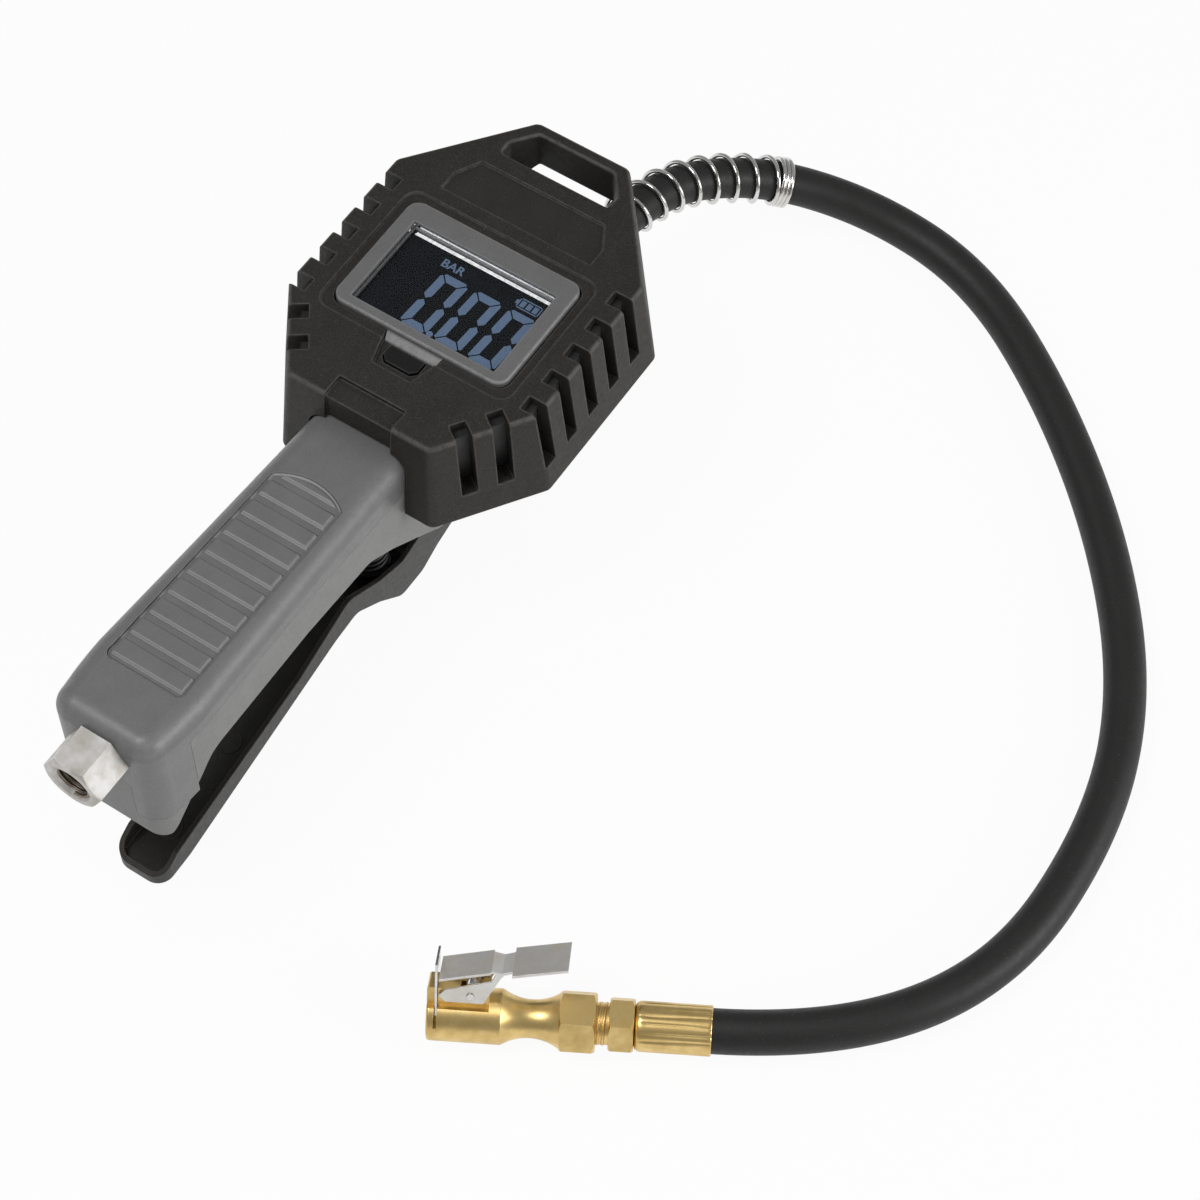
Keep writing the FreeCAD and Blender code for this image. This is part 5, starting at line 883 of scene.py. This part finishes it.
def pad_spot(sizes, along, across):
    """A point on the pad's top, from shares along it from its far end and across it, in metres."""
    front = (PAD_FRONT - math.sqrt(PAD_BOW ** 2 - (across * PAD_FRONT_HALF) ** 2)
             + math.sqrt(PAD_BOW ** 2 - PAD_FRONT_HALF ** 2))
    back = PAD_END + (front - PAD_END) * along
    from_end = PAD_END - back
    half = PAD_END_HALF + (PAD_FRONT_HALF - PAD_END_HALF) * from_end / (PAD_END - PAD_FRONT)
    if from_end < PAD_CORNER:
        half += math.sqrt(PAD_CORNER ** 2 - (PAD_CORNER - from_end) ** 2) - PAD_CORNER
    side = half * across
    margin, edge = sizes.margin / MM, sizes.bar_edge / MM
    inside = min(half - abs(side), from_end, back - front)
    pitch = (PAD_END - PAD_FRONT - margin) / sizes.bars
    off = abs((from_end - margin * 0.5) % pitch - pitch * 0.5)
    bar = eased((pitch * sizes.bar_share * 0.5 - off) / edge + 0.5)
    bar *= eased((inside - margin) / edge + 0.5)
    rim = PAD_RIM * (1.0 - eased(inside / edge - 0.4))
    rise = sizes.bar_rise / MM
    fall = PAD_CROWN * max(abs(side) - PAD_FLAT_HALF, 0.0) ** 2
    level = PAD_STAND - rise + rise * max(bar, rim) - fall
    up = level - PAD_TOP + back * math.sin(TOP_TILT)
    return HEAD + Vector((-back * math.cos(TOP_TILT), side, up)) * MM


class INFLATOR_OT_pad(Operator):
    """Moulds the grip's soft pad with its raised bars"""
    bl_idname = "inflator.pad"
    bl_label = "Grip pad"

    def execute(self, context):
        sizes = settings().pad
        rows, columns = 420, 56
        points, faces = [], []
        for row in range(rows + 1):
            for column in range(columns + 1):
                turn = math.pi * (column / columns - 0.5)
                points.append(pad_spot(sizes, row / rows, math.sin(turn)))
        under = len(points)
        points += [point - Vector((0.0, 0.0, PAD_THICK)) * MM for point in points]
        wide = columns + 1
        for row in range(rows):
            for column in range(columns):
                corners = [row * wide + column, row * wide + column + 1, (row + 1) * wide + column + 1,
                           (row + 1) * wide + column]
                faces.append(corners)
                faces.append([under + corner for corner in reversed(corners)])
        rim = list(range(columns)) + [row * wide + columns for row in range(rows)]
        rim += [rows * wide + column for column in range(columns, 0, -1)]
        rim += [row * wide for row in range(rows, 0, -1)]
        for first, second in zip(rim, rim[1:] + rim[:1]):
            faces.append([first, second, under + second, under + first])
        pad = mesh_of("barred_pad", points, faces, finish_of("pad_rubber"))
        for face in pad.data.polygons:
            face.use_smooth = face.normal.z > 0.3
        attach(pad, "tool")
        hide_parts("grip_pad")
        return {"FINISHED"}


def thread(name, axis, radius, start, end, pitch, deep, material):
    """A helical ridge round an axis given as a matrix whose x runs along it."""
    rise = end - start
    recipe = Recipe(name + "_helix", Radius=radius, Rise=rise, Turns=rise / pitch, Deep=deep)
    helix = recipe.node("GeometryNodeCurveSpiral",
                        values={"Resolution": 40, "Rotations": recipe["Turns"], "Height": recipe["Rise"],
                                "Start Radius": recipe["Radius"], "End Radius": recipe["Radius"]})
    upright = recipe.node("GeometryNodeSetCurveNormal", {"mode": "Z_UP"}, {0: helix})
    ridge = recipe.node("GeometryNodeCurvePrimitiveCircle", {"mode": "RADIUS"},
                        {"Resolution": 6, "Radius": recipe["Deep"]})
    body = recipe.node("GeometryNodeCurveToMesh", values={"Curve": upright, "Profile Curve": ridge,
                                                          "Fill Caps": True})
    piece = recipe.make(name, body, material)
    turn = Matrix.Rotation(math.radians(90), 4, "Y")
    piece.data.transform(axis @ Matrix.Translation((start, 0, 0)) @ turn)
    return piece


class INFLATOR_OT_threads(Operator):
    """Adds the ridges of the inlet's inner thread and the hose stem's outer thread"""
    bl_idname = "inflator.threads"
    bl_label = "Threads"

    def execute(self, context):
        sizes = settings().metal
        inner_share = 0.9
        inlet = thread("inlet_thread", Matrix.Translation(INLET_MOUTH), INLET_RADIUS, INLET_START,
                       INLET_END, sizes.inlet_pitch, sizes.thread_deep * inner_share,
                       finish_of("thread_alloy"))
        stem = thread("stem_thread", CHUCK, STEM_RADIUS * MM, STEM_START * MM, STEM_END * MM,
                      sizes.stem_pitch, sizes.thread_deep, finish_of("brass"))
        for piece, slot in ((inlet, "steel"), (stem, "brass")):
            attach(piece, "tool")
        return {"FINISHED"}


def pressed_in(sizes, reach, number, points_a_flat):
    """How far the ferrule is pressed in at a point of its round, each flat a little unevenly."""
    first, ramp = 1.6, 1.4
    depth = min(max((reach - first) / ramp, 0.0), 1.0) * sizes.crimp_deep / MM
    flat, place = divmod(number, points_a_flat)
    uneven = 0.6 + 0.4 * math.sin(flat * 2.3 + reach * 0.12)
    return depth * uneven * (0.5 + 0.5 * math.cos(place / points_a_flat * 2 * math.pi)) ** 2


class INFLATOR_OT_ferrule(Operator):
    """Presses the ferrule's flats round the hose's end"""
    bl_idname = "inflator.ferrule"
    bl_label = "Ferrule"

    def execute(self, context):
        sizes = settings().metal
        steps, points_a_flat, smooth_below = 24, 12, 7.0
        count = sizes.crimps * points_a_flat
        outline = [(0.0, 5.6), (0.35, 6.7), (1.1, 7.35), (FERRULE_NOSE, FERRULE_RADIUS)]
        outline += [(FERRULE_NOSE + FERRULE_STRAIGHT * step / steps, FERRULE_RADIUS)
                    for step in range(1, steps + 1)]
        outline += [(22.65, 7.4), (22.8, 7.2), (22.8, 6.8)]
        points = []
        for reach, radius in outline:
            for number in range(count):
                angle = 2 * math.pi * number / count
                spot = radius
                if radius > smooth_below:
                    spot -= pressed_in(sizes, reach, number, points_a_flat)
                points.append(CHUCK @ Vector(((FERRULE_START + reach) * MM, math.cos(angle) * spot * MM,
                                              math.sin(angle) * spot * MM)))
        faces = joined_rings(len(outline), count)
        ferrule = mesh_of("crimped_ferrule", points, faces, finish_of("brass"))
        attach(ferrule, "tool")
        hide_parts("ferrule")
        return {"FINISHED"}


class INFLATOR_OT_marks(Operator):
    """Adds the two round mould marks on the lever's inner floor"""
    bl_idname = "inflator.marks"
    bl_label = "Mould marks"

    def execute(self, context):
        radius, steps = 4.1, 48
        profile = [(radius, -0.35), (radius, 0.08), (radius - 0.15, 0.20), (radius - 0.40, 0.20),
                   (radius - 0.55, 0.10)]
        tilt = Matrix.Rotation(-math.asin(LEVER_FALL), 4, "Y")
        turns = [2 * math.pi * step / steps for step in range(steps)]
        faces = joined_rings(len(profile), steps)
        for number, spot in enumerate(MARKS):
            place = Matrix.Translation(spot) @ tilt
            points = [place @ (Vector((math.cos(turn) * reach, math.sin(turn) * reach, height)) * MM)
                      for reach, height in profile for turn in turns]
            mark = mesh_of("lever_mark_%d" % (number + 1), points, faces, finish_of("lever_black"),
                           smooth=False)
            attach(mark, "lever")
        return {"FINISHED"}


class INFLATOR_OT_springs(Operator):
    """Makes the valve's and the lever's springs as welded copies of their parts"""
    bl_idname = "inflator.springs"
    bl_label = "Springs"

    def execute(self, context):
        for name, joint, fixed, travel, finish in SPRINGS:
            mesh = NODES[name].data.copy()
            shape = bmesh.new()
            shape.from_mesh(mesh)
            bmesh.ops.remove_doubles(shape, verts=shape.verts, dist=MERGE)
            shape.to_mesh(mesh)
            shape.free()
            piece = link("coiled_" + name, mesh, finish_of(finish))
            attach(piece, "tool")
            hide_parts(name)
            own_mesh(piece)
        return {"FINISHED"}


class INFLATOR_OT_finishes(Operator):
    """Makes every finish and gives each moulded, turned or stamped part its own"""
    bl_idname = "inflator.finishes"
    bl_label = "Finishes"

    def execute(self, context):
        make_finishes()
        for name, node in sorted(NODES.items()):
            slots = [slot.material.name.split(".")[0] for slot in node.material_slots if slot.material]
            slot = slots[0] if slots else ""
            material = finish_of(FINISH_BY_NODE.get(name, slot))
            for place in node.material_slots:
                place.material = material
        return {"FINISHED"}


class INFLATOR_OT_hose_facts(Operator):
    """Stands for the hose's length, thickness and what hangs on its end, but states none of them"""
    bl_idname = "inflator.hose_facts"
    bl_label = "Hose facts"

    def execute(self, context):
        return {"FINISHED"}


def floor_finish(colour):
    """A matt floor that the camera and reflections see as nearly white, with its shadow."""
    material = bpy.data.materials.new("floor")
    material.use_nodes = True
    web = Web(material.node_tree)
    web.tree.nodes.remove(web.tree.nodes["Principled BSDF"])
    paper = web.node("ShaderNodeBsdfDiffuse", values={"Color": shade(colour)})
    white = web.node("ShaderNodeEmission", values={"Color": shade(grey(1.0)), "Strength": 1.0})
    seen = web.node("ShaderNodeLightPath", output="Is Camera Ray")
    glossy = web.node("ShaderNodeLightPath", output="Is Glossy Ray")
    share = seen.most(glossy) * WHITE_SHARE
    mixed = web.node("ShaderNodeMixShader", values={0: share, 1: paper, 2: white})
    web.tree.links.new(mixed.socket, web.tree.nodes["Material Output"].inputs["Surface"])
    return material


def studio_world(strength):
    """Soft light from all round, against a white background."""
    world = bpy.data.worlds.new("studio")
    world.use_nodes = True
    sky = Web(world.node_tree)
    background = sky.tree.nodes["Background"]
    seen = sky.node("ShaderNodeLightPath", output="Is Camera Ray")
    feed(sky.tree, background.inputs["Color"], shade(grey(1.0)))
    feed(sky.tree, background.inputs["Strength"], seen.most(strength))
    return world


def square_lamp(name, place, size, power):
    """A soft square lamp that faces the middle of the scene."""
    data = bpy.data.lights.new(name, "AREA")
    data.shape = "SQUARE"
    data.size = size
    data.energy = power
    lamp = bpy.data.objects.new(name, data)
    lamp.location = place
    lamp.rotation_euler = (LAMP_AIM - Vector(place)).to_track_quat("-Z", "Y").to_euler()
    return lamp


class INFLATOR_OT_stage(Operator):
    """Lays the floor and sets the soft studio light"""
    bl_idname = "inflator.stage"
    bl_label = "Stage"

    def execute(self, context):
        stage = settings().stage
        half = 4.0
        corners = [(-half, -half, 0), (half, -half, 0), (half, half, 0), (-half, half, 0)]
        floor = mesh_of("floor", corners, [[0, 1, 2, 3]], floor_finish(stage.floor), smooth=False)
        context.scene.world = studio_world(stage.sky)
        for lamp in (square_lamp("key", KEY_PLACE, 0.45, stage.key),
                     square_lamp("side", SIDE_PLACE, 0.6, stage.side)):
            context.scene.collection.objects.link(lamp)
        return {"FINISHED"}


class INFLATOR_PT_panel(Panel):
    """Lists the steps and settings of the inflator"""
    bl_idname = "INFLATOR_PT_panel"
    bl_label = "Tyre inflator"
    bl_space_type = "VIEW_3D"
    bl_region_type = "UI"
    bl_category = "Inflator"

    def draw(self, context):
        for step in STEPS:
            self.layout.operator(step.bl_idname)
        for group in ("hose", "display", "pad", "metal", "colours", "stage"):
            box = self.layout.box()
            box.label(text=group.title())
            values = getattr(context.scene.inflator, group)
            for name in values.__annotations__:
                box.prop(values, name)


STEPS = (INFLATOR_OT_camera, INFLATOR_OT_finishes, INFLATOR_OT_hose, INFLATOR_OT_guard, INFLATOR_OT_display,
         INFLATOR_OT_skirt, INFLATOR_OT_pad, INFLATOR_OT_threads, INFLATOR_OT_ferrule, INFLATOR_OT_springs,
         INFLATOR_OT_marks, INFLATOR_OT_hose_facts, INFLATOR_OT_stage)
GROUPS = (HoseSizes, DisplaySizes, PadSizes, MetalSizes, FinishColours, StageSettings, InflatorSettings)


def register():
    for item in GROUPS + STEPS + (INFLATOR_PT_panel,):
        bpy.utils.register_class(item)
    bpy.types.Scene.inflator = PointerProperty(type=InflatorSettings)


def unregister():
    del bpy.types.Scene.inflator
    for item in reversed(GROUPS + STEPS + (INFLATOR_PT_panel,)):
        bpy.utils.unregister_class(item)


def main():
    register()
    for step in STEPS:
        family, name = step.bl_idname.split(".")
        getattr(getattr(bpy.ops, family), name)()


if __name__ == "__main__":
    main()
